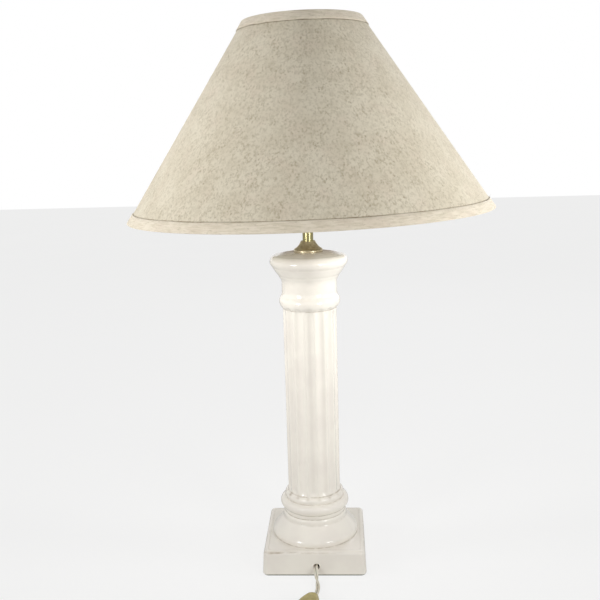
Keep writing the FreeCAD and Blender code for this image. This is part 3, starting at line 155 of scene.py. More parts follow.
def glazeFinish():
    look = glazeLook
    f = Finish("glaze", IOR=1.45, Coat_Roughness=0.03, Coat_IOR=1.5)
    cloud = f.noise(38, 3, 0.5)
    body = f.mix(f.ramp(cloud, 0.35, 0.68), look["body"], look["cool"])
    # darker where the outline turns into a hollow: collected glaze, and painted shade in the creases
    pooled = f.mark("pooled") * f.ramp(f.noise(7, 3), 0.2, 0.7)
    thin = f.mark("thin") * f.ramp(f.noise(9, 4, 0.6, (0.35, 1, 1)), 0.42, 0.66)
    pin = 1 - f.ramp(f.speckle(11), 0.02, 0.06)
    pin = pin * f.ramp(f.noise(30, 1), 0.55, 0.7)
    # dirt and bare body, with painted shade on the crown's far side and inside the cord's hole
    stain = f.mark("stain") * (0.7 + 0.6 * f.noise(5, 3, 0.6))
    body = f.mix(pooled * 0.8, body, look["pooled"])
    body = f.mix(thin * 0.8, body, look["bare"])
    body = f.mix(pin * 0.3, body, look["bare"])
    body = f.mix(stain, body, look["stain"])
    f.wear(Base_Color=body, Roughness=look["roughness"] + 0.04 * cloud + 0.25 * pooled + 0.6 * stain)
    f.wear(Coat_Weight=0.3 * (1 - stain))
    skin = f.bump(f.noise(26, 1), 0.35)
    f.wear(Normal=f.bump(f.noise(3.2, 2), 0.012, skin))
    return f.material


# cloth of the shade: a linen with darker slubs, and a paler, streaked one on its bands

clothLook = {
    "ground": paint(200, 191, 171),
    "pale": paint(208, 200, 181),
    "rosy": paint(204, 190, 172),
    "slub": paint(162, 151, 128),
    "speck": paint(128, 114, 92),
    # dark brown for the two stains and the glued band edges, which is also painted shade of each band's
    # edge
    "glueAndShade": paint(122, 108, 84),
    "bandPale": paint(220, 210, 192),
    "bandDark": paint(200, 190, 168),
    "sheen": {"Sheen_Weight": 0.45, "Sheen_Roughness": 0.4, "Sheen_Tint": (1.0, 0.98, 0.93, 1.0),
              "Specular_IOR_Level": 0.2},
    "spots": ((55.5, -214.6, 454.0), (128.6, -175.1, 464.0)),  # two small stains by the bottom band
    "spotInner": 1.2, "spotOuter": 2.6, "spotShare": 0.6,
    "threadsRound": 1400,
    "threadPitch": 0.62,      # mm of height
}


def weave(f, uneven):  # the crossing threads, over what stands up unevenly
    look = clothLook
    split = f.node("SeparateXYZ", None, {0: f.node("TexCoord", out="Object")})
    x, y, z = (Signal(f, socket) for socket in split.out.node.outputs)
    warp = f.node("Math", {"operation": "SINE"}, {0: f.sum("ARCTAN2", y, x) * look["threadsRound"]})
    weft = f.node("Math", {"operation": "SINE"}, {0: z * (2 * math.pi / (look["threadPitch"] * mm))})
    return warp * weft * 0.5 + uneven


def clothFinish():
    look = clothLook
    f = Finish("shade_linen", Roughness=0.92, **look["sheen"])
    lie = (1, 1, 0.6)  # the flecks run a little down the slant
    colour = f.mix(f.ramp(f.noise(34, 3), 0.32, 0.66), look["ground"], look["pale"])
    colour = f.mix(f.ramp(f.noise(21, 3), 0.45, 0.72) * 0.35, colour, look["rosy"])
    patches = 0.65 + 0.5 * f.ramp(f.noise(16, 3, 0.6), 0.42, 0.6)
    slubs = f.ramp(f.noise(4.6, 4, 0.65, lie, 0.5), 0.46, 0.64)
    flecks = f.ramp(f.noise(2.4, 3, 0.6, lie, 0.3), 0.48, 0.66)
    specks = 1 - f.ramp(f.speckle(4.6, lie), 0.1, 0.3)
    colour = f.mix(slubs * patches * 0.36, colour, look["slub"])
    colour = f.mix(flecks * patches * 0.58, colour, look["slub"])
    colour = f.mix(specks * patches * 0.3, colour, look["speck"])
    for spot in look["spots"]:
        away = f.node("VectorMath", {"operation": "DISTANCE"}, {0: f.place(), 1: spot}, out=1)
        ragged = away + 1.5 * f.noise(2, 2)
        stained = 1 - f.ramp(ragged, look["spotInner"], look["spotOuter"])
        colour = f.mix(stained * look["spotShare"], colour, look["glueAndShade"])
    # a dark line where each band starts and along the seam: the glued edge, and painted shade of the step
    # there
    colour = f.mix(f.mark("line") * (0.25 + f.noise(5, 3)), colour, look["glueAndShade"])
    uneven = 0.25 * slubs + 0.5 * f.noise(1.6, 3, 0.6, lie)
    slack = f.bump(f.noise(45, 1), 0.5)
    f.wear(Base_Color=colour, Normal=f.bump(weave(f, uneven), 0.12, slack))
    return f.material


def bandFinish():
    look = clothLook
    f = Finish("band_linen", Roughness=0.9, **look["sheen"])
    along = (0.12, 0.12, 1)  # its threads run round the shade
    streaks = f.ramp(f.noise(1.5, 3, 0.6, along), 0.38, 0.7)
    flecks = f.ramp(f.noise(1.8, 3, 0.6, (0.5, 0.5, 1)), 0.57, 0.7)
    colour = f.mix(streaks, look["bandPale"], look["bandDark"])
    colour = f.mix(f.ramp(f.noise(25, 3), 0.4, 0.7) * 0.5, colour, look["rosy"])
    colour = f.mix(flecks * 0.4, colour, look["slub"])
    uneven = 0.4 * streaks + 0.4 * f.noise(1.2, 3, 0.6, along)
    slack = f.bump(f.noise(16, 2), 0.5)
    f.wear(Base_Color=colour, Normal=f.bump(weave(f, uneven), 0.14, slack))
    return f.material


# metals

def metalFinish(name, bright, dull, roughness, patina=0.5, grain=(1, 1, 1), grainDepth=0.01):
    f = Finish(name, Metallic=1.0)
    cloud = f.ramp(f.noise(6, 4, 0.6), 0.5 - 0.25 * patina, 0.78 - 0.1 * patina)
    spots = f.ramp(f.noise(1.3, 3, 0.6), 0.56, 0.72) * patina
    colour = f.mix(cloud * patina, bright, dull)
    colour = f.mix(spots * 0.6, colour, dull)
    f.wear(Base_Color=colour, Roughness=roughness + 0.22 * patina * cloud + 0.1 * spots)
    f.wear(Normal=f.bump(f.noise(0.5, 2, 0.5, grain), grainDepth))
    return f.material


# moulded and pressed stuff

def mouldedFinish(name, colour, shade, roughness, grain=0.8, depth=0.02, **more):
    f = Finish(name, **more)
    cloud = f.ramp(f.noise(9, 3), 0.35, 0.7)
    scuff = f.ramp(f.noise(2.4, 4, 0.65, (1, 0.3, 1)), 0.62, 0.75)
    f.wear(Base_Color=f.mix(cloud * 0.6 + 0.3 * scuff, colour, shade))
    f.wear(Roughness=roughness + 0.12 * cloud + 0.15 * scuff)
    f.wear(Normal=f.bump(f.noise(grain, 2), depth))
    return f.material


def cordFinish():
    f = Finish("cord_vinyl", Subsurface_Weight=0.05, Subsurface_Scale=0.001)
    cloud = f.ramp(f.noise(9, 3), 0.35, 0.7)
    colour = f.mix(cloud * 0.6, paint(228, 223, 208), paint(204, 197, 178))
    # a dark line along the groove between the cores: painted shade
    f.wear(Base_Color=f.mix(f.mark("groove") * 0.85, colour, paint(104, 94, 70)))
    f.wear(Roughness=0.38 + 0.12 * cloud, Normal=f.bump(f.noise(1.2, 2), 0.02))
    return f.material


def feltFinish():
    f = Finish("felt", Roughness=0.97, Sheen_Weight=0.5, Specular_IOR_Level=0.1)
    fibres = f.noise(1.1, 4, 0.75, (1, 0.4, 1), 1.5)
    f.wear(Base_Color=f.mix(f.ramp(fibres, 0.3, 0.7), paint(58, 68, 52), paint(92, 100, 78)))
    f.wear(Normal=f.bump(fibres, 0.25))
    return f.material


def paperFinish():
    f = Finish("socket_paper", Roughness=0.85)
    fibres = f.noise(0.9, 4, 0.7, (1, 1, 0.3))
    f.wear(Base_Color=f.mix(fibres, paint(150, 122, 82), paint(186, 158, 114)))
    f.wear(Normal=f.bump(fibres, 0.05))
    return f.material


def linerFinish():
    f = Finish("shade_backing", Roughness=0.55, Specular_IOR_Level=0.35)
    warm = f.ramp(f.noise(70, 2), 0.3, 0.7)
    stain = f.ramp(f.noise(18, 4, 0.6), 0.6, 0.8)
    colour = f.mix(warm, paint(244, 240, 228), paint(236, 229, 210))
    f.wear(Base_Color=f.mix(stain * 0.3, colour, paint(214, 198, 166)))
    f.wear(Normal=f.bump(f.noise(2, 3), 0.03))
    return f.material


def opalFinish():
    f = Finish("opal_glass", Roughness=0.35, Coat_Weight=0.5, Coat_Roughness=0.08, IOR=1.5)
    veil = f.noise(9, 2)
    f.wear(Base_Color=f.mix(veil, paint(246, 244, 238), paint(232, 230, 224)))
    f.wear(Normal=f.bump(f.noise(20, 1), 0.1))
    return f.material


metals = {
    "antiqueBrass": metalFinish("antique_brass", paint(214, 202, 172), paint(150, 134, 104), 0.34, 0.6,
                                grainDepth=0.02),
    "tubeBrass": metalFinish("tube_brass", paint(196, 186, 136), paint(142, 130, 84), 0.16, 0.25,
                             (6, 6, 0.4), 0.006),
    "brightBrass": metalFinish("bright_brass", paint(206, 176, 108), paint(150, 120, 62), 0.2, 0.35),
    "socketBrass": metalFinish("socket_brass", paint(198, 166, 98), paint(150, 118, 62), 0.26, 0.3),
    "steel": metalFinish("plated_steel", paint(176, 174, 166), paint(128, 120, 104), 0.3, 0.5),
    "aluminium": metalFinish("screw_shell_alloy", paint(205, 205, 202), paint(168, 168, 164), 0.28, 0.2),
}
finishes = {
    "glaze": glazeFinish(),
    "cloth": clothFinish(),
    "bandCloth": bandFinish(),
    "liner": linerFinish(),
    "felt": feltFinish(),
    "paper": paperFinish(),
    "phenolic": mouldedFinish("phenolic", paint(40, 32, 28), paint(58, 46, 38), 0.42),
    "opal": opalFinish(),
    "cordVinyl": cordFinish(),
    "switchPlastic": mouldedFinish("switch_plastic", paint(186, 172, 112), paint(150, 136, 82), 0.3, 1.5,
                                   0.015, Coat_Weight=0.3, Coat_Roughness=0.1),
    "wheelPlastic": mouldedFinish("wheel_plastic", paint(150, 136, 84), paint(116, 104, 62), 0.35),
    "plugPlastic": mouldedFinish("plug_plastic", paint(229, 221, 202), paint(205, 195, 172), 0.4),
}
print("finishes mixed:", len(metals) + len(finishes))

nodeFinish = {
    "felt_pad": finishes["felt"],
    "lamp_pipe": metals["steel"],
    "base_washer": metals["steel"],
    "lock_washer": metals["steel"],
    "pipe_nut": metals["steel"],
    "vase_cap": metals["antiqueBrass"],
    "neck_tube": metals["tubeBrass"],
    "harp_saddle": metals["brightBrass"],
    "harp_bow": metals["brightBrass"],
    "ferrule_right": metals["brightBrass"],
    "ferrule_left": metals["brightBrass"],
    "swivel_stud": metals["brightBrass"],
    "finial": metals["brightBrass"],
    "shade_spider": metals["brightBrass"],
    "shade_top_ring": metals["steel"],
    "shade_bottom_ring": metals["steel"],
    "shade_liner": finishes["liner"],
    "socket_cap": metals["socketBrass"],
    "socket_shell": metals["socketBrass"],
    "socket_liner": finishes["paper"],
    "socket_core": finishes["phenolic"],
    "screw_shell": metals["aluminium"],
    "centre_contact": metals["brightBrass"],
    "terminal_screws": metals["steel"],
    "bulb_base": metals["aluminium"],
    "bulb_glass": finishes["opal"],
    "switch_bottom": finishes["switchPlastic"],
    "switch_top": finishes["switchPlastic"],
    "switch_wheel": finishes["wheelPlastic"],
    "switch_axle": metals["steel"],
    "switch_screw": metals["steel"],
    "plug_body": finishes["plugPlastic"],
    "plug_blades": metals["brightBrass"],
}
for name, material in nodeFinish.items():
    slots = nodes[name].data.materials
    slots.clear()
    slots.append(material)


# meshes from rows of points

def pieceFrom(name, points, faces, material, body, slotName, *replaced, marks=None):
    mesh = bpy.data.meshes.new(name)
    mesh.from_pydata((np.asarray(points) * mm).tolist(), [], faces)
    mesh.update()
    mesh.shade_smooth()
    for mark, values in (marks or {}).items():
        layer = mesh.attributes.new(mark, "FLOAT", "POINT")
        layer.data.foreach_set("value", np.asarray(values, np.float32))
    mesh.materials.append(material)
    piece = bpy.data.objects.new(name, mesh)
    scene.collection.objects.link(piece)
    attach(piece, body)
    if replaced:
        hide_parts(*replaced)
    return piece


def gridFaces(rows, columns, closedRows):  # columns always go right round
    faces = []
    for i in range(rows if closedRows else rows - 1):
        j = np.arange(columns)
        k = (j + 1) % columns
        here, above = i * columns, (i + 1) % rows * columns
        faces += np.stack([here + j, here + k, above + k, above + j], 1).tolist()
    return faces


def arcPoints(radius, height, bend, start, end, step=0.2):
    count = max(3, int(abs(math.radians(end - start)) * bend / step))
    a = np.radians(np.linspace(start, end, count))
    return np.stack([radius + bend * np.cos(a), height + bend * np.sin(a)], 1)


def evenly(line, step):  # the same line with its points a step apart
    run = np.concatenate([[0], np.cumsum(np.linalg.norm(np.diff(line, axis=0), axis=1))])
    keep = np.concatenate([[True], np.diff(run) > 1e-9])
    at = np.linspace(0, run[-1], max(2, int(round(run[-1] / step)) + 1))
    return np.stack([np.interp(at, run[keep], line[keep, i]) for i in range(line.shape[1])], 1)


def softened(line, spread):  # a line whose corners a glaze has rounded, its ends kept
    reach = int(spread * 4)
    weight = np.exp(-0.5 * (np.arange(-reach, reach + 1) / spread) ** 2)
    weight /= weight.sum()
    before = 2 * line[0] - line[reach:0:-1]
    after = 2 * line[-1] - line[-2:-reach - 2:-1]
    padded = np.concatenate([before, line, after])
    return np.stack([np.convolve(padded[:, i], weight, "valid") for i in range(2)], 1)


def wander(angle, height, seed, size):  # slow unevenness of a cast or stretched surface, mostly -1 to 1
    rng = np.random.default_rng(seed)
    total = np.zeros(np.broadcast(angle, height).shape)
    for turns in (2, 3, 5, 7):
        phase, lean = rng.uniform(0, 2 * math.pi), rng.uniform(-1, 1)
        total += rng.uniform(0.3, 0.6) * np.sin(turns * angle + phase + lean * height / size)
    return total


# the column

column = {
    "columns": 320,
    "rowStep": 0.8,
    "shaftStep": 6.0,
    "fineStep": 0.2,
    "rounding": 2.4,          # of the creases, in fine steps
    "plinthHalf": 65.5, "plinthDraft": 3.0, "plinthTop": 31.8, "plinthFoot": 1.0,
    "plinthCorner": 6.0, "topEdge": 4.5, "footEdge": 2.0,
    "topInset": 9.6,          # from the plinth's side to where the bell's own outline starts
    "innerHalf": 58.5, "ceiling": 25.8, "wellRadius": 20.0, "wellTop": 30.5, "boreRadius": 5.5,
    "innerLevels": (16.0, 8.0), "boreRows": 40,
    "cornerCrowd": 0.175,     # how strongly points gather where the plinth's corners turn
    "bellCore": 47.9, "bellZ": 35.0, "bellRound": 7.9, "bellTurn": 39.5, "coveRound": 4.0,
    "bandCore": 36.4, "bandZ": 58.6, "bandRound": 4.9, "bandStart": -10,
    "grooveDepth": 0.9, "grooveRise": 0.6, "filletRadius": 40.2, "filletFoot": 64.2, "filletTop": 68.2,
    "torusCore": 37.2, "torusZ": 74.8, "torusRound": 7.2,
    "ringCore": 33.0, "ringZ": 85.3, "ringRound": 5.4,
    "shaftRadius": 34.0, "shaftTop": 332.9,
    "astragalCore": 27.35, "astragalZ": 341.48, "astragalRound": 10.85,
    "astragalEase": 1.0, "neckEase": ((0.35, 9.4), (0.0, 12.0)),  # out from the neck, up from its middle
    "neckRadius": 34.5, "neckTop": 364.54, "flareRound": 11.89, "flareTurn": 33.6,
    "rimCore": 40.66, "rimZ": 391.54, "rimRound": 7.84,
    "crownRadius": 19.0, "crownRise": 3.5, "crownRun": 6.0, "crownDip": 0.6, "boreEdge": 1.0,
    "lipHeights": (374.7, 385.1), "lipDepth": 0.3,   # two faint rings on the flare
    # the two rings also take collected glaze and painted shade
    "lipWidth": 1.3, "lipPoolAndShade": 0.16, "lipPoolAndShadeWidth": 1.0,
    "flutes": 16, "fluteDistance": 41.5, "fluteRound": 9.5,
    "fluteLow": 97.4, "fluteHigh": 328.1, "fluteEnd": 3.0, "arrisRound": 1.1,
    "holeX": 2.7, "holeZ": 12.5, "holeRadius": 3.75, "holeLip": 0.8,
    "holeOut": 6.0, "holeDeep": 10.0, "holeSides": 48,
    "wobble": 0.14, "wobbleSeed": 4, "wobbleSize": 60,
    "bareClayAndShade": 0.8,          # how brown the unglazed inside is; this also paints the shade inside the cord's hole
    "creaseLow": 0.12, "creaseSpan": 0.5,   # how sharp a hollow takes collected glaze and painted shade
    "topPoolAndShade": ((0.8, 0.3), (1.6, 0.16), (2.6, 0.0)),   # further in from the top edge, and the collected glaze and painted shade there
    "topShares": (0.15, 0.4, 0.7),
    "rubbedAt": 36, "rubbedSpread": 17,     # degrees round the top edge
    "rubbedFront": -50, "rubbedElsewhere": 0.35,
    "rubbedX": (-62, -54, -34, -14, 34, 62), "rubbedShare": (0.4, 1.0, 1.0, 0.55, 0.3, 0.1),
    # dirt on the crown round the vase cap, with painted shade that grows towards the back
    "soiledAndShadedRadius": 40.0, "soiledAndShadedSpan": 11.0, "soiledAndShadedMean": 0.6, "soiledAndShadedSwing": 0.4,
    # dark marks at the flutes' feet: collected glaze, and painted shade where the flutes end
    "gatheredAndShade": (0.35, 0.9, 0.3, 0.75, 0.5, 1.0, 0.6, 0.4),
    "gatheredAndShadeDrop": 8.5, "gatheredAndShadeWide": 2.2, "gatheredAndShadeHigh": 1.5,
}


def columnOutline():
    c = column
    turn = math.radians(c["bellTurn"])
    foot = -math.degrees(math.asin((c["bellZ"] - c["plinthTop"]) / c["bellRound"]))
    bandFront = c["bandCore"] + c["bandRound"]
    bell = np.array([c["bellCore"] + c["bellRound"] * math.cos(turn),
                     c["bellZ"] + c["bellRound"] * math.sin(turn)])
    coveOut = bandFront + c["coveRound"] * (1 - math.cos(turn))
    coveZ = bell[1] + (bell[0] - coveOut) / math.tan(turn) + c["coveRound"] * math.sin(turn)
    grooveIn = c["filletRadius"] - c["grooveDepth"]
    groove = math.degrees(math.acos((grooveIn - c["bandCore"]) / c["bandRound"]))
    torusLow = -math.degrees(math.acos((grooveIn - c["torusCore"] + c["grooveRise"]) / c["torusRound"]))
    ringStart = -math.degrees(math.asin((c["ringZ"] - c["torusZ"] - c["torusRound"]) / c["ringRound"]))
    ringEnd = math.degrees(math.acos((c["shaftRadius"] - c["ringCore"]) / c["ringRound"]))
    low = -math.degrees(math.acos((c["shaftRadius"] - c["astragalCore"]) / c["astragalRound"]))
    easedNeck = c["neckRadius"] + c["astragalEase"]
    high = math.degrees(math.acos((easedNeck - c["astragalCore"]) / c["astragalRound"]))
    rimTop = c["rimZ"] + c["rimRound"]
    crownTop = rimTop + c["crownRise"]
    pieces = [
        [(c["plinthHalf"] - c["topInset"], c["plinthTop"])],
        arcPoints(c["bellCore"], c["bellZ"], c["bellRound"], foot, c["bellTurn"]),
        arcPoints(bandFront + c["coveRound"], coveZ, c["coveRound"], 180 + c["bellTurn"], 180),
        arcPoints(c["bandCore"], c["bandZ"], c["bandRound"], c["bandStart"], groove),
        [(c["filletRadius"], c["filletFoot"]), (c["filletRadius"], c["filletTop"])],
        arcPoints(c["torusCore"], c["torusZ"], c["torusRound"], torusLow, 90),
        arcPoints(c["ringCore"], c["ringZ"], c["ringRound"], ringStart, ringEnd),
        [(c["shaftRadius"], c["shaftTop"])],
        arcPoints(c["astragalCore"], c["astragalZ"], c["astragalRound"], low, high),
        [(c["neckRadius"] + out, c["astragalZ"] + up) for out, up in c["neckEase"]],
        arcPoints(c["neckRadius"] + c["flareRound"], c["neckTop"], c["flareRound"],
                  180, 180 - c["flareTurn"]),
        arcPoints(c["rimCore"], c["rimZ"], c["rimRound"], -c["flareTurn"], 90),
        [(c["crownRadius"] + c["crownRun"], crownTop - c["crownDip"]), (c["crownRadius"], crownTop)],
        [(c["boreRadius"] + c["boreEdge"], crownTop)],
    ]
    return evenly(np.concatenate([np.asarray(p, float) for p in pieces]), c["fineStep"])


def roundedSquare(half, corner, angle):
    d = np.stack([np.cos(angle), np.sin(angle)], 1)
    reach = half / np.abs(d).max(1)
    inner = half - corner
    along = np.abs(d) @ np.array([inner, inner])
    turned = along + np.sqrt(np.maximum(along ** 2 - 2 * inner ** 2 + corner ** 2, 0))
    flat = (np.abs(d) * reach[:, None]).min(1) <= inner
    return d * np.where(flat, reach, turned)[:, None]


def fluted(radius, z, angle):
    c = column
    step = 2 * math.pi / c["flutes"]
    off = (angle + math.pi / 2) % step - step / 2  # from the nearest arris; a flute faces the front
    phi = np.abs(off) - step / 2  # from the flute's middle
    past = max(c["fluteLow"] - z, z - c["fluteHigh"], 0.0)
    tool = math.sqrt(max(c["fluteRound"] ** 2 - past ** 2, 0.0))
    inside = tool ** 2 - (c["fluteDistance"] * np.sin(phi)) ** 2
    cutTo = c["fluteDistance"] * np.cos(phi) - np.sqrt(np.maximum(inside, 0.0))
    cutTo = np.where(inside > 0, cutTo, 1e3)
    k = c["arrisRound"]
    h = np.clip(0.5 + 0.5 * (cutTo - radius) / k, 0, 1)  # a smooth lesser of the two radii
    return cutTo * (1 - h) + radius * h - k * h * (1 - h)


def bendOf(line):  # how sharply the outline turns at each point: above 0 in a hollow, below 0 on an edge
    way = np.gradient(line, axis=0)
    angle = np.unwrap(np.arctan2(way[:, 1], way[:, 0]))
    run = np.linalg.norm(way, axis=1)
    return -np.gradient(angle) / run


def columnRows(angle):
    c = column
    line = softened(columnOutline(), c["rounding"])
    turning = bendOf(line)
    draft = math.tan(math.radians(c["plinthDraft"]))
    circle = np.stack([np.cos(angle), np.sin(angle)], 1)
    spreadAngle = angle + c["cornerCrowd"] * np.sin(4 * angle)
    rows, marks = [], {"pooled": [], "thin": [], "stain": []}

    def add(points, z, **amounts):
        rows.append(np.column_stack([points, np.full(len(angle), z)]))
        for mark in marks:
            marks[mark].append(np.ones(len(angle)) * amounts.get(mark, 0.0))

    def wallAt(z):
        return c["plinthHalf"] - (z - c["plinthFoot"]) * draft

    corner = c["plinthCorner"]
    bore = circle * c["boreRadius"]
    well = circle * c["wellRadius"]
    inner = roundedSquare(c["innerHalf"], corner, spreadAngle)
    top = c["rimZ"] + c["rimRound"] + c["crownRise"]
    add(bore, top)
    for z in np.linspace(top, c["wellTop"], c["boreRows"])[1:]:
        add(bore, z)
    # the unglazed inside, brown, which is also painted shade inside the cord's hole
    clayAndShade = c["bareClayAndShade"]
    add(well, c["wellTop"], stain=clayAndShade)
    add(well, c["ceiling"], stain=clayAndShade)
    for share in (0.3, 0.7):
        add(well * (1 - share) + inner * share, c["ceiling"], stain=clayAndShade)
    for z in (c["ceiling"], *c["innerLevels"], c["plinthFoot"]):
        add(inner, z, stain=clayAndShade)
    foot = c["footEdge"]
    for turn in np.radians(np.linspace(-90, 0, 7)):
        inset, z = foot * (1 - math.cos(turn)), c["plinthFoot"] + foot * (1 + math.sin(turn))
        add(roundedSquare(wallAt(z) - inset, corner - inset, spreadAngle), z)
    edge = c["topEdge"]
    for z in np.linspace(c["plinthFoot"] + foot, c["plinthTop"] - edge, 24)[1:-1]:
        add(roundedSquare(wallAt(z), corner, spreadAngle), z)
    for degrees in np.linspace(0, 90, 13):
        turn = math.radians(degrees)
        inset, z = edge * (1 - math.cos(turn)), c["plinthTop"] - edge * (1 - math.sin(turn))
        around = roundedSquare(wallAt(z) - inset, corner - inset, spreadAngle)
        worn = math.exp(-((degrees - c["rubbedAt"]) / c["rubbedSpread"]) ** 2)
        add(around, z, thin=rubbed(around) * worn)
    # a soft dark line just inside the top edge: collected glaze, and painted shade where the flat top
    # begins
    for further, pool in c["topPoolAndShade"]:
        inset = edge + further
        add(roundedSquare(wallAt(z) - inset, corner, spreadAngle), c["plinthTop"], pooled=pool)
    last = roundedSquare(wallAt(c["plinthTop"]) - inset, corner, spreadAngle)
    first = circle * line[0, 0]
    for share in c["topShares"]:
        add(last * (1 - share) + first * share, c["plinthTop"])

    nextAt, run = 0.0, 0.0  # from here up the outline's own steps are thinned to each stretch's row step
    for i in range(len(line)):
        if i:
            run += float(np.linalg.norm(line[i] - line[i - 1]))
        if run < nextAt and i < len(line) - 1:
            continue
        radius, z = line[i]
        straight = c["fluteLow"] + c["fluteEnd"] < z < c["fluteHigh"] - c["fluteEnd"]
        onCap = radius < c["rimCore"] and z > c["rimZ"]
        nextAt = run + (c["shaftStep"] if straight else 3 * c["rowStep"] if onCap else c["rowStep"])
        # below the astragal a hollow gets collected glaze and painted shade
        hollow = (turning[i] - c["creaseLow"]) / c["creaseSpan"]
        pool = float(np.clip(hollow, 0, 1)) if z < c["astragalZ"] else 0.0
        around = radius
        # the rings on the flare are cut in and darkened with collected glaze and painted shade
        for lip in c["lipHeights"]:
            around = around - c["lipDepth"] * math.exp(-((z - lip) / c["lipWidth"]) ** 2)
            pool = max(pool, c["lipPoolAndShade"] * math.exp(-((z - lip) / c["lipPoolAndShadeWidth"]) ** 2))
        around = np.full(len(angle), around)
        pool = np.full(len(angle), pool)
        if c["ringZ"] - 1 < z < c["astragalZ"]:
            around = fluted(around, z, angle)
            pool = np.maximum(pool, gatheredGlazeAndShade(z, angle))
        settled = min(1.0, (top - z) / 8 + 0.1)  # the wobble fades at the top, where the brass sits
        around = around + c["wobble"] * wander(angle, z, c["wobbleSeed"], c["wobbleSize"]) * settled
        # dirt on the crown near the vase cap, with painted shade, more towards the back
        soiledAndShaded = float(np.clip((c["soiledAndShadedRadius"] - radius) / c["soiledAndShadedSpan"], 0, 1)) if onCap else 0.0
        soiledAndShaded = soiledAndShaded * (c["soiledAndShadedMean"] + c["soiledAndShadedSwing"] * np.sin(angle))
        add(circle * around[:, None], z, pooled=pool, stain=soiledAndShaded)
    return rows, marks


def rubbed(around):  # where the glaze has run thin along the plinth's top edge, mostly at the front left
    c = column
    front = np.interp(around[:, 0], c["rubbedX"], c["rubbedShare"])
    return np.where(around[:, 1] < c["rubbedFront"], front, c["rubbedElsewhere"])


def gatheredGlazeAndShade(z, angle):  # at the foot of each arris, more at some than at others: collected glaze, and painted shade where the flutes end
    c = column
    step = 2 * math.pi / c["flutes"]
    turn = (angle + math.pi / 2) / step
    which = np.floor(turn).astype(int) % len(c["gatheredAndShade"])
    amount = np.array(c["gatheredAndShade"])[which]
    across = (turn % 1.0 - 0.5) * step * c["shaftRadius"]
    above = z - c["fluteLow"] + c["gatheredAndShadeDrop"]
    return amount * np.exp(-(across / c["gatheredAndShadeWide"]) ** 2 - (above / c["gatheredAndShadeHigh"]) ** 2)


def cutHole(piece):  # the cord's way out through the plinth, with a rounded lip
    c = column
    r, lip = c["holeRadius"], c["holeLip"]
    front = -c["plinthHalf"] + (c["holeZ"] - c["plinthFoot"]) * math.tan(math.radians(c["plinthDraft"]))
    outline = [(0.0, front - c["holeOut"]), (r + lip, front - c["holeOut"]), (r + lip, front)]
    for degrees in np.linspace(15, 90, 6):
        turn = math.radians(degrees)
        outline.append((r + lip * (1 - math.sin(turn)), front + lip * (1 - math.cos(turn))))
    outline += [(r, front + c["holeDeep"]), (0.0, front + c["holeDeep"])]
    sides = c["holeSides"]
    points = []
    for radius, y in outline[::-1]:
        for k in range(sides):
            a = 2 * math.pi * k / sides
            points.append((c["holeX"] + radius * math.cos(a), y, c["holeZ"] + radius * math.sin(a)))
    mesh = bpy.data.meshes.new("hole_cutter")
    mesh.from_pydata((np.array(points) * mm).tolist(), [], gridFaces(len(outline), sides, False))
    mesh.validate()
    cutter = bpy.data.objects.new("hole_cutter", mesh)
    scene.collection.objects.link(cutter)
    weld = cutter.modifiers.new("weld", "WELD")
    weld.merge_threshold = 1e-7
    hole = piece.modifiers.new("hole", "BOOLEAN")
    hole.operation = "DIFFERENCE"
    hole.solver = "EXACT"
    hole.object = cutter
    cut = bpy.data.meshes.new_from_object(piece.evaluated_get(bpy.context.evaluated_depsgraph_get()))
    piece.modifiers.clear()
    piece.data = cut
    bpy.data.objects.remove(cutter)


def makeColumn():
    c = column
    angle = 2 * math.pi * np.arange(c["columns"]) / c["columns"]
    rows, marks = columnRows(angle)
    points = np.concatenate(rows)
    faces = gridFaces(len(rows), c["columns"], True)
    marks = {name: np.concatenate(values) for name, values in marks.items()}
    piece = pieceFrom("glazed_column", points, faces, finishes["glaze"], "lamp_base", "glazed_ceramic",
                      "column_body", marks=marks)
    cutHole(piece)
    piece.data.set_sharp_from_angle(angle=math.radians(50))


makeColumn()
print("column cast, fluted and glazed")


# the shade: everything is drawn upright about the pivot on the harp, then leaned

shade = {
    "pivot": 656.19, "lean": 1.15,
    "top": 21.42, "bottom": -205.08, "topRadius": 71.0, "bottomRadius": 222.0,
    "columns": 360,
    "clothInset": 0.88, "clothThickness": 0.5, "clothEnd": 0.85, "clothPlay": 0.07, "lapRise": 0.1,
    "bandWidth": 11.0, "bandThickness": 0.8, "bandReturn": 4.0, "bandInner": 4.9, "bandFold": 0.6,
    "bandUneven": 0.22, "bandPuff": 0.05, "bandHeld": 4.0,
    "seamAngle": 96.0, "seamWidth": 9.0, "seamEdge": 0.002, "seamNear": 0.012,  # the last two in radians
    "seamTaper": 0.667,       # radius lost for each millimetre up, near enough for the lap's width
    "clothRows": 20, "hemRows": (-0.4, 0.1, 0.5, 1.1, 3.0), "hemGlueAndShade": (1, 1, 1, 1, 0.8, 0, 0),
}


def onShade(angle, z, inset):
    s = shade
    slope = (s["bottomRadius"] - s["topRadius"]) / (s["top"] - s["bottom"])
    level = math.sqrt(1 + slope ** 2)
    radius = s["bottomRadius"] - (z - s["bottom"]) * slope - inset * level
    x, y = radius * np.cos(angle), radius * np.sin(angle)
    lean = math.radians(s["lean"])
    height = np.broadcast_to(z, x.shape)
    return np.stack([x * math.cos(lean) - height * math.sin(lean), y,
                     x * math.sin(lean) + height * math.cos(lean) + s["pivot"]], -1)


def shadeAngles():
    s = shade
    seam = math.radians(s["seamAngle"])
    even = 2 * math.pi * np.arange(s["columns"]) / s["columns"]
    edge, near = s["seamEdge"], s["seamNear"]
    return np.sort(np.concatenate([even, seam + np.array([-near, -edge, edge, near])]))


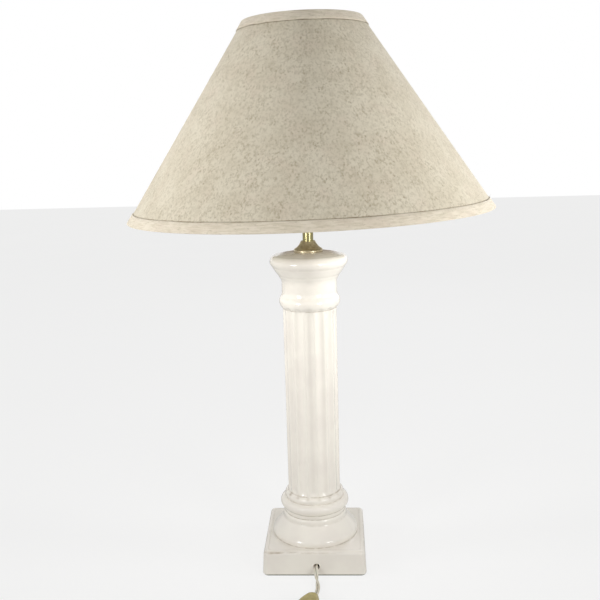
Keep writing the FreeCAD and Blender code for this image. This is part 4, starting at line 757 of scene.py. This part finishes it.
def makeCloth():
    s = shade
    angle = shadeAngles()
    low, high = s["bottom"] + s["clothEnd"], s["top"] - s["clothEnd"]
    hem = s["bandWidth"] - s["clothEnd"]
    near = np.concatenate([[0.0, 4.0], hem + np.array(s["hemRows"])])
    between = np.linspace(low + hem + 12, high - hem - 12, s["clothRows"])
    heights = np.concatenate([low + near, between, high - near[::-1]])
    line = np.array(s["hemGlueAndShade"])  # the dark line where a band starts: the glued edge, and painted shade under it
    marks = np.concatenate([line, np.zeros(s["clothRows"]), line[::-1]])
    seam = math.radians(s["seamAngle"])
    rows, glueAndShadeLines = [], []
    for z, mark in zip(heights, marks):
        width = s["seamWidth"] / (s["bottomRadius"] - (z - s["bottom"]) * s["seamTaper"])
        start = np.clip((angle - seam + s["seamEdge"]) / (2 * s["seamEdge"]), 0, 1)
        lap = start * np.clip((seam + width - angle) / 0.03, 0, 1)
        uneven = s["clothPlay"] * wander(angle, z, 8, 70)
        inset = s["clothInset"] + s["lapRise"] + uneven - s["lapRise"] * lap
        rows.append(onShade(angle, z, inset))
        # the dark line also runs along the seam, as painted shade of the lap's edge
        glueAndShadeLines.append(np.maximum(np.full(len(angle), mark), 0.5 * np.exp(-((angle - seam) * 300) ** 2)))
    for z in heights[::-1]:
        rows.append(onShade(angle, z, s["clothInset"] + 0.15 + s["clothThickness"]))
        glueAndShadeLines.append(np.zeros(len(angle)))
    return pieceFrom("shade_cloth", np.concatenate(rows), gridFaces(len(rows), len(angle), True),
                     finishes["cloth"], "shade", "shade_linen", "shade_fabric",
                     marks={"line": np.concatenate(glueAndShadeLines)})


def bandSection():  # the folded band's outline: depth from the shade's edge, distance inside its outer face
    s = shade
    t, inner, fold = s["bandThickness"], s["bandInner"], s["bandFold"]
    middle = [(s["bandWidth"] - 0.2, t / 2), (7.0, t / 2), (3.0, t / 2), (t / 2 + fold, t / 2)]
    for degrees in (30, 60, 90):
        a = math.radians(degrees)
        middle.append((t / 2 + fold * (1 - math.sin(a)), t / 2 + fold * (1 - math.cos(a))))
    middle += [(t / 2, 3.0), (t / 2, inner + t / 2 - fold)]
    for degrees in (30, 60, 90):
        a = math.radians(degrees)
        middle.append((t / 2 + fold * (1 - math.cos(a)), inner + t / 2 - fold * (1 - math.sin(a))))
    middle.append((s["bandReturn"] - 0.2, inner + t / 2))
    middle = np.array(middle)
    way = np.gradient(middle, axis=0)
    way /= np.linalg.norm(way, axis=1)[:, None]
    across = np.stack([way[:, 1], -way[:, 0]], 1) * t / 2
    tip, end = middle[0] - way[0] * t * 0.25, middle[-1] + way[-1] * t * 0.25
    ring = [tip] + list(middle + across) + [end] + list((middle - across)[::-1])
    return np.array(ring)


def makeBand(name, edgeZ, side, seed, replaced):
    s = shade
    angle = shadeAngles()
    rows = []
    for depth, inset in bandSection():
        share = max(0.0, depth - s["bandHeld"]) / (s["bandWidth"] - s["bandHeld"])
        uneven = s["bandUneven"] * share * wander(angle * 3, 0.0, seed, 1.0)
        onFace = inset < s["bandThickness"]
        puff = s["bandPuff"] * wander(angle * 5, depth, seed + 1, 3.0) if onFace else 0.0
        puffed = inset + np.maximum(puff, -s["bandPuff"])
        rows.append(onShade(angle, edgeZ + side * (depth + uneven), puffed))
    if side > 0:
        rows = rows[::-1]
    return pieceFrom(name, np.concatenate(rows), gridFaces(len(rows), len(angle), True),
                     finishes["bandCloth"], "shade", "shade_trim", replaced)


frayed = {
    "angles": (-9.0, -7.8, -7.2, -5.0, -4.4, -3.9, 8.0),
    "seed": 3, "shortest": 1.6, "longest": 3.6, "thickness": 0.13, "taper": 0.6,
    "points": 5, "sides": 5,
}


def looseThreads():  # a few frayed ends where the cloth meets the bottom band, on the right
    f = frayed
    rng = np.random.default_rng(f["seed"])
    points, faces = [], []
    for degrees in f["angles"]:
        angle = math.radians(degrees)
        foot = onShade(np.array(angle), shade["bottom"] + shade["bandWidth"] - 0.6, 0.3)
        out = np.array([math.cos(angle), math.sin(angle), 0.0])
        lean = out * rng.uniform(0.3, 0.9) + (0, 0, 1) + rng.normal(0, 0.35, 3)
        curl = rng.normal(0, 0.5, 3)
        length = rng.uniform(f["shortest"], f["longest"])
        first = len(points)
        for step in np.linspace(0, 1, f["points"]):
            middle = foot + (lean * step + curl * step * step) * length * 0.6
            thick = f["thickness"] * (1 - f["taper"] * step)
            for k in range(f["sides"]):
                a = 2 * math.pi * k / f["sides"]
                points.append(middle + thick * np.array([math.cos(a), math.sin(a), 0.0]))
        faces += [[first + i for i in face] for face in gridFaces(f["points"], f["sides"], False)]
        end = list(range(first, first + f["sides"]))
        faces += [end[::-1], [i + f["sides"] * (f["points"] - 1) for i in end]]
    return pieceFrom("loose_threads", points, faces, finishes["cloth"], "shade", "shade_linen")


cloth = makeCloth()
looseThreads()
topBand = makeBand("top_band", shade["top"], -1, 21, "top_trim")
bottomBand = makeBand("bottom_band", shade["bottom"], 1, 34, "bottom_trim")
print("shade covered")


# the cord: two cores side by side, drawn along its own spline

cord = {
    "width": 5.3, "thickness": 2.7, "web": 0.55, "offTable": 0.05,
    "lobeReach": 122, "lobePoints": 11,   # how far round each core's outline goes, in degrees
    "riserTop": 450.38, "exit": (2.0, -65.5, 11.9),
    "switchIn": (1.5, -131.0, 9.5), "switchHeading": -106.0, "switchLength": 60.0, "inserted": 5.0,
    "coilX": 7.0, "coilY": -258.0, "coilMean": 27.0, "coilPitch": 5.85,
    "coilLayers": 4, "layerTurns": 2, "pointsPerTurn": 16, "climb": 0.5,
    "plugIn": (58.0, -221.0, 6.5), "plugHeading": 75.0,
    "leadLength": 0.0739, "tailLength": 1.61,
}
onTable = cord["width"] / 2


def heading(degrees):
    a = math.radians(degrees)
    return np.array([math.cos(a), math.sin(a), 0.0])


switchIn = np.array(cord["switchIn"])
switchWay = heading(cord["switchHeading"])
switchOut = switchIn + switchWay * cord["switchLength"]
plugIn = np.array(cord["plugIn"])
plugWay = heading(cord["plugHeading"])


def coilPoints():
    c = cord
    widest = c["coilMean"] + c["coilPitch"] * c["layerTurns"] / 2
    points = []
    for i in range(c["coilLayers"] * c["layerTurns"] * c["pointsPerTurn"] + 1):
        turn = i / c["pointsPerTurn"]
        layer = min(int(turn // c["layerTurns"]), c["coilLayers"] - 1)
        part = turn - layer * c["layerTurns"]
        depth = part if layer % 2 == 0 else c["layerTurns"] - part
        radius = widest - c["coilPitch"] * depth
        z = onTable
        for step in range(1, c["coilLayers"]):
            rise = min(max((turn - step * c["layerTurns"] + c["climb"] / 2) / c["climb"], 0.0), 1.0)
            z += c["coilPitch"] * rise * rise * (3 - 2 * rise)
        a = math.pi + 2 * math.pi * turn
        points.append((c["coilX"] + radius * math.cos(a), c["coilY"] + radius * math.sin(a), z))
    return points


def splineLine(name, route, resolution):
    curve = bpy.data.curves.new(name, "CURVE")
    curve.dimensions = "3D"
    spline = curve.splines.new("NURBS")
    spline.points.add(len(route) - 1)
    for point, place in zip(spline.points, route):
        point.co = (place[0] * mm, place[1] * mm, place[2] * mm, 1.0)
    spline.order_u = 3
    spline.use_endpoint_u = True
    spline.resolution_u = resolution
    holder = bpy.data.objects.new(name, curve)
    scene.collection.objects.link(holder)
    line = bpy.data.meshes.new_from_object(holder)
    points = np.array([v.co for v in line.vertices]) / mm
    bpy.data.objects.remove(holder)
    bpy.data.curves.remove(curve)
    bpy.data.meshes.remove(line)
    return points


def coreOutline():
    c = cord
    lobe = c["thickness"] / 2
    offset = c["width"] / 2 - lobe
    turns = np.radians(np.linspace(-c["lobeReach"], c["lobeReach"], c["lobePoints"]))
    right = np.stack([offset + lobe * np.cos(turns), lobe * np.sin(turns)], 1)
    left = -right
    return np.concatenate([right, [(0.0, c["web"])], left, [(0.0, -c["web"])]])


def flatCord(name, route, twists, resolution, replaced, side=None):
    line = splineLine(name, route, resolution)
    way = np.gradient(line, axis=0)
    way /= np.linalg.norm(way, axis=1)[:, None]
    run = np.concatenate([[0], np.cumsum(np.linalg.norm(np.diff(line, axis=0), axis=1))])
    level = np.cross(way, (0, 0, 1)) if side is None else np.tile(side, (len(way), 1))
    level -= way * (level * way).sum(1)[:, None]
    level /= np.linalg.norm(level, axis=1)[:, None]
    upright = np.cross(level, way)
    turn = np.radians(np.interp(run, *zip(*twists)))[:, None]
    wide = level * np.cos(turn) + upright * np.sin(turn)
    flat = -level * np.sin(turn) + upright * np.cos(turn)
    outline = coreOutline()
    rings = line[:, None] + outline[None, :, :1] * wide[:, None] + outline[None, :, 1:] * flat[:, None]
    rings[..., 2] = np.maximum(rings[..., 2], cord["offTable"])
    count = len(outline)
    faces = gridFaces(len(line), count, False)
    faces += [list(range(count))[::-1], [(len(line) - 1) * count + i for i in range(count)]]
    groove = np.tile(np.abs(outline[:, 0]) < 0.01, len(line))  # painted shade in the groove between the cores
    piece = pieceFrom(name, rings.reshape(-1, 3), faces, finishes["cordVinyl"], "lamp_base", "cord_vinyl",
                      *replaced, marks={"groove": groove})
    return piece, line


# twists are pairs of a length along the cord and its turn there in degrees
riserRoute = [(0, 0, cord["riserTop"]), (0, 0, 3.85), (1.1, -33.5, 5.85), (1.5, -49.5, 13.65), cord["exit"]]
riserTwists = [(0, 0), (440, 0), (500, -50)]
flatCord("inner_cord", riserRoute, riserTwists, 40, ["cord_riser"], side=(-1.0, 0.0, 0.0))

leadRoute = [
    cord["exit"],
    (2.188, -71.5, 11.244),
    (2.9, -79.5, 5.2),
    (4.2, -87.5, 2.75),
    (5.2, -95.5, onTable),
    (4.9, -103.0, 3.1),
    (4.2, -113.5, 5.7),
    (3.4, -124.0, 9.3),
    tuple(switchIn + switchWay * cord["inserted"]),
]
leadTwists = [(0, -50), (8, -10), (17, 60), (24, 130), (32, 176), (80, 180)]
lead, leadLine = flatCord("cord_to_switch", leadRoute, leadTwists, 16, ["cord_lead"])

coil = coilPoints()
coilStart = np.array(coil[0]) + (0, cord["width"], 0)
coilEnd = np.array(coil[-1]) - (0, cord["width"], 0)
tailRoute = [
    tuple(switchOut - switchWay * cord["inserted"]),
    tuple(switchOut + switchWay * 5.0 - (0, 0, 0.2)),
    (-19.0, -205.0, 5.6),
    (-21.6, -215.0, 3.0),
    (-24.6, -226.0, onTable),
    (coilStart[0] - 0.6, coilStart[1] + 14.0, onTable),
    (coilStart[0], coilStart[1] + 6.0, onTable),
    *coil,
    tuple(coilEnd),
    (coilEnd[0] + 0.5, coilEnd[1] - 12.0, coilEnd[2] - 1.2),
    (-22.0, -284.0, 15.4),
    (-9.0, -300.0, 9.0),
    (10.0, -309.0, 4.0),
    (29.0, -306.0, onTable),
    (43.0, -293.0, onTable),
    (50.5, -274.0, onTable),
    (53.5, -255.0, 3.6),
    (55.2, -240.0, 5.2),
    tuple(plugIn - plugWay * 9.0),
    tuple(plugIn),
]
tailTwists = [(0, 180), (30, 180), (75, 90), (1440, 90), (1500, 60), (1570, 0), (1700, 0)]
tail, tailLine = flatCord("cord_to_plug", tailRoute, tailTwists, 10, ["cord_run", "cord_coil", "cord_tail"])
for label, line in (("lead", leadLine), ("tail", tailLine)):
    print(label, "length", round(float(np.linalg.norm(np.diff(line, axis=0), axis=1).sum()), 1), "mm")


# camera: where the photograph was taken from, for a square picture

cameraPlace = {
    "focal": 48.55,
    "place": (42.2, -994.9, 540.1),
    "yaw": -0.646, "pitch": 11.282, "roll": -1.649,
    "round": 2.472,           # a last turn about the upright, as it stands that far round the lamp
}


def setCamera():
    p = cameraPlace
    yaw, pitch, roll = (math.radians(p[k]) for k in ("yaw", "pitch", "roll"))
    forward = Vector((math.sin(yaw) * math.cos(pitch), math.cos(yaw) * math.cos(pitch), -math.sin(pitch)))
    right = Vector((math.cos(yaw), -math.sin(yaw), 0))
    up = right.cross(forward)
    right, up = right * math.cos(roll) + up * math.sin(roll), up * math.cos(roll) - right * math.sin(roll)
    axes = Matrix((right, up, -forward)).transposed().to_4x4()
    data = bpy.data.cameras.new("camera")
    data.lens = p["focal"]
    data.sensor_width = 36
    data.clip_start, data.clip_end = 0.05, 50
    camera = bpy.data.objects.new("camera", data)
    turn = Matrix.Rotation(math.radians(p["round"]), 4, "Z")
    camera.matrix_world = Matrix.Translation(Vector(p["place"]) * mm) @ turn @ axes
    scene.collection.objects.link(camera)
    scene.camera = camera


setCamera()


# studio

studio = {
    "floor": paint(242, 242, 240), "floorWorn": paint(232, 232, 230), "floorHalf": 6.0,
    "ambient": 0.44, "white": (1, 1, 1, 1),
    "lamps": {  # place, aim, watts, width, height, spread in degrees
        "left_key": ((-0.62, -0.76, 0.46), (0, 0, 0.34), 0.52, 0.26, 0.3, 76),
        "right_key": ((0.62, -0.76, 0.46), (0, 0, 0.34), 0.54, 0.26, 0.3, 76),
        "left_edge": ((-0.84, -0.15, 0.68), (-0.13, 0, 0.55), 0.84, 0.25, 0.25, 70),
        "right_edge": ((0.84, -0.10, 0.52), (0.15, 0, 0.50), 0.9, 0.25, 0.25, 70),
        "shade_fill": ((0.0, -1.4, 0.95), (0, 0, 0.66), 0.2, 0.5, 0.5, 60),
        "back_light": ((0.3, 1.5, 1.5), (0, 0, 0.4), 3.0, 1.0, 1.0, 170),
    },
    "unmirrored": ("left_edge", "right_edge", "shade_fill"),  # these leave no glint in the glaze
    "floorGlow": 0.75,
}


def areaLight(name, place, aim, watts, width, height, spread):
    data = bpy.data.lights.new(name, "AREA")
    data.shape = "RECTANGLE"
    data.size, data.size_y = width, height
    data.energy = watts
    data.spread = math.radians(spread)
    lamp = bpy.data.objects.new(name, data)
    lamp.location = place
    lamp.rotation_euler = (Vector(aim) - Vector(place)).to_track_quat("-Z", "Y").to_euler()
    lamp.visible_camera = False
    lamp.visible_glossy = name not in studio["unmirrored"]
    scene.collection.objects.link(lamp)


def litWhite(tree, plain, white):  # white to the eye, in reflections and through glass
    rays = tree.nodes.new("ShaderNodeLightPath")
    total = tree.nodes.new("ShaderNodeMath")
    total.operation = "ADD"
    more = tree.nodes.new("ShaderNodeMath")
    more.operation = "ADD"
    more.use_clamp = True
    tree.links.new(rays.outputs["Is Camera Ray"], total.inputs[0])
    tree.links.new(rays.outputs["Is Glossy Ray"], total.inputs[1])
    tree.links.new(total.outputs[0], more.inputs[0])
    tree.links.new(rays.outputs["Is Transmission Ray"], more.inputs[1])
    mix = tree.nodes.new("ShaderNodeMixShader")
    tree.links.new(more.outputs[0], mix.inputs[0])
    tree.links.new(plain, mix.inputs[1])
    tree.links.new(white, mix.inputs[2])
    return mix


def setStudio():
    s = studio
    for name, lamp in s["lamps"].items():
        areaLight(name, *lamp)
    world = bpy.data.worlds.new("studio")
    scene.world = world
    world.use_nodes = True
    tree = world.node_tree
    tree.nodes.clear()
    dim, bright = (tree.nodes.new("ShaderNodeBackground") for _ in range(2))
    dim.inputs["Strength"].default_value = s["ambient"]
    bright.inputs["Strength"].default_value = 1.0
    for background in (dim, bright):
        background.inputs["Color"].default_value = s["white"]
    output = tree.nodes.new("ShaderNodeOutputWorld")
    mix = litWhite(tree, dim.outputs[0], bright.outputs[0])
    tree.links.new(mix.outputs[0], output.inputs[0])


def floorFinish():  # part white to the eye, to come near the background
    s = studio
    f = Finish("floor", Roughness=0.8, Specular_IOR_Level=0.2)
    f.wear(Base_Color=f.mix(f.noise(400, 2), s["floor"], s["floorWorn"]))
    share = f.node("LightPath", out="Is Camera Ray") * s["floorGlow"]
    glow = f.node("Emission", None, {"Color": s["white"]})
    blend = f.node("MixShader", None, {0: share, 1: Signal(f, f.surface.outputs[0]), 2: glow})
    f.feed(f.output, "Surface", blend)
    return f.material


def layFloor():
    half = studio["floorHalf"]
    corners = [(-half, -half, 0), (half, -half, 0), (half, half, 0), (-half, half, 0)]
    mesh = bpy.data.meshes.new("floor")
    mesh.from_pydata(corners, [], [(0, 1, 2, 3)])
    floor = bpy.data.objects.new("floor", mesh)
    mesh.materials.append(floorFinish())
    scene.collection.objects.link(floor)


setStudio()
layFloor()
print("studio lit")
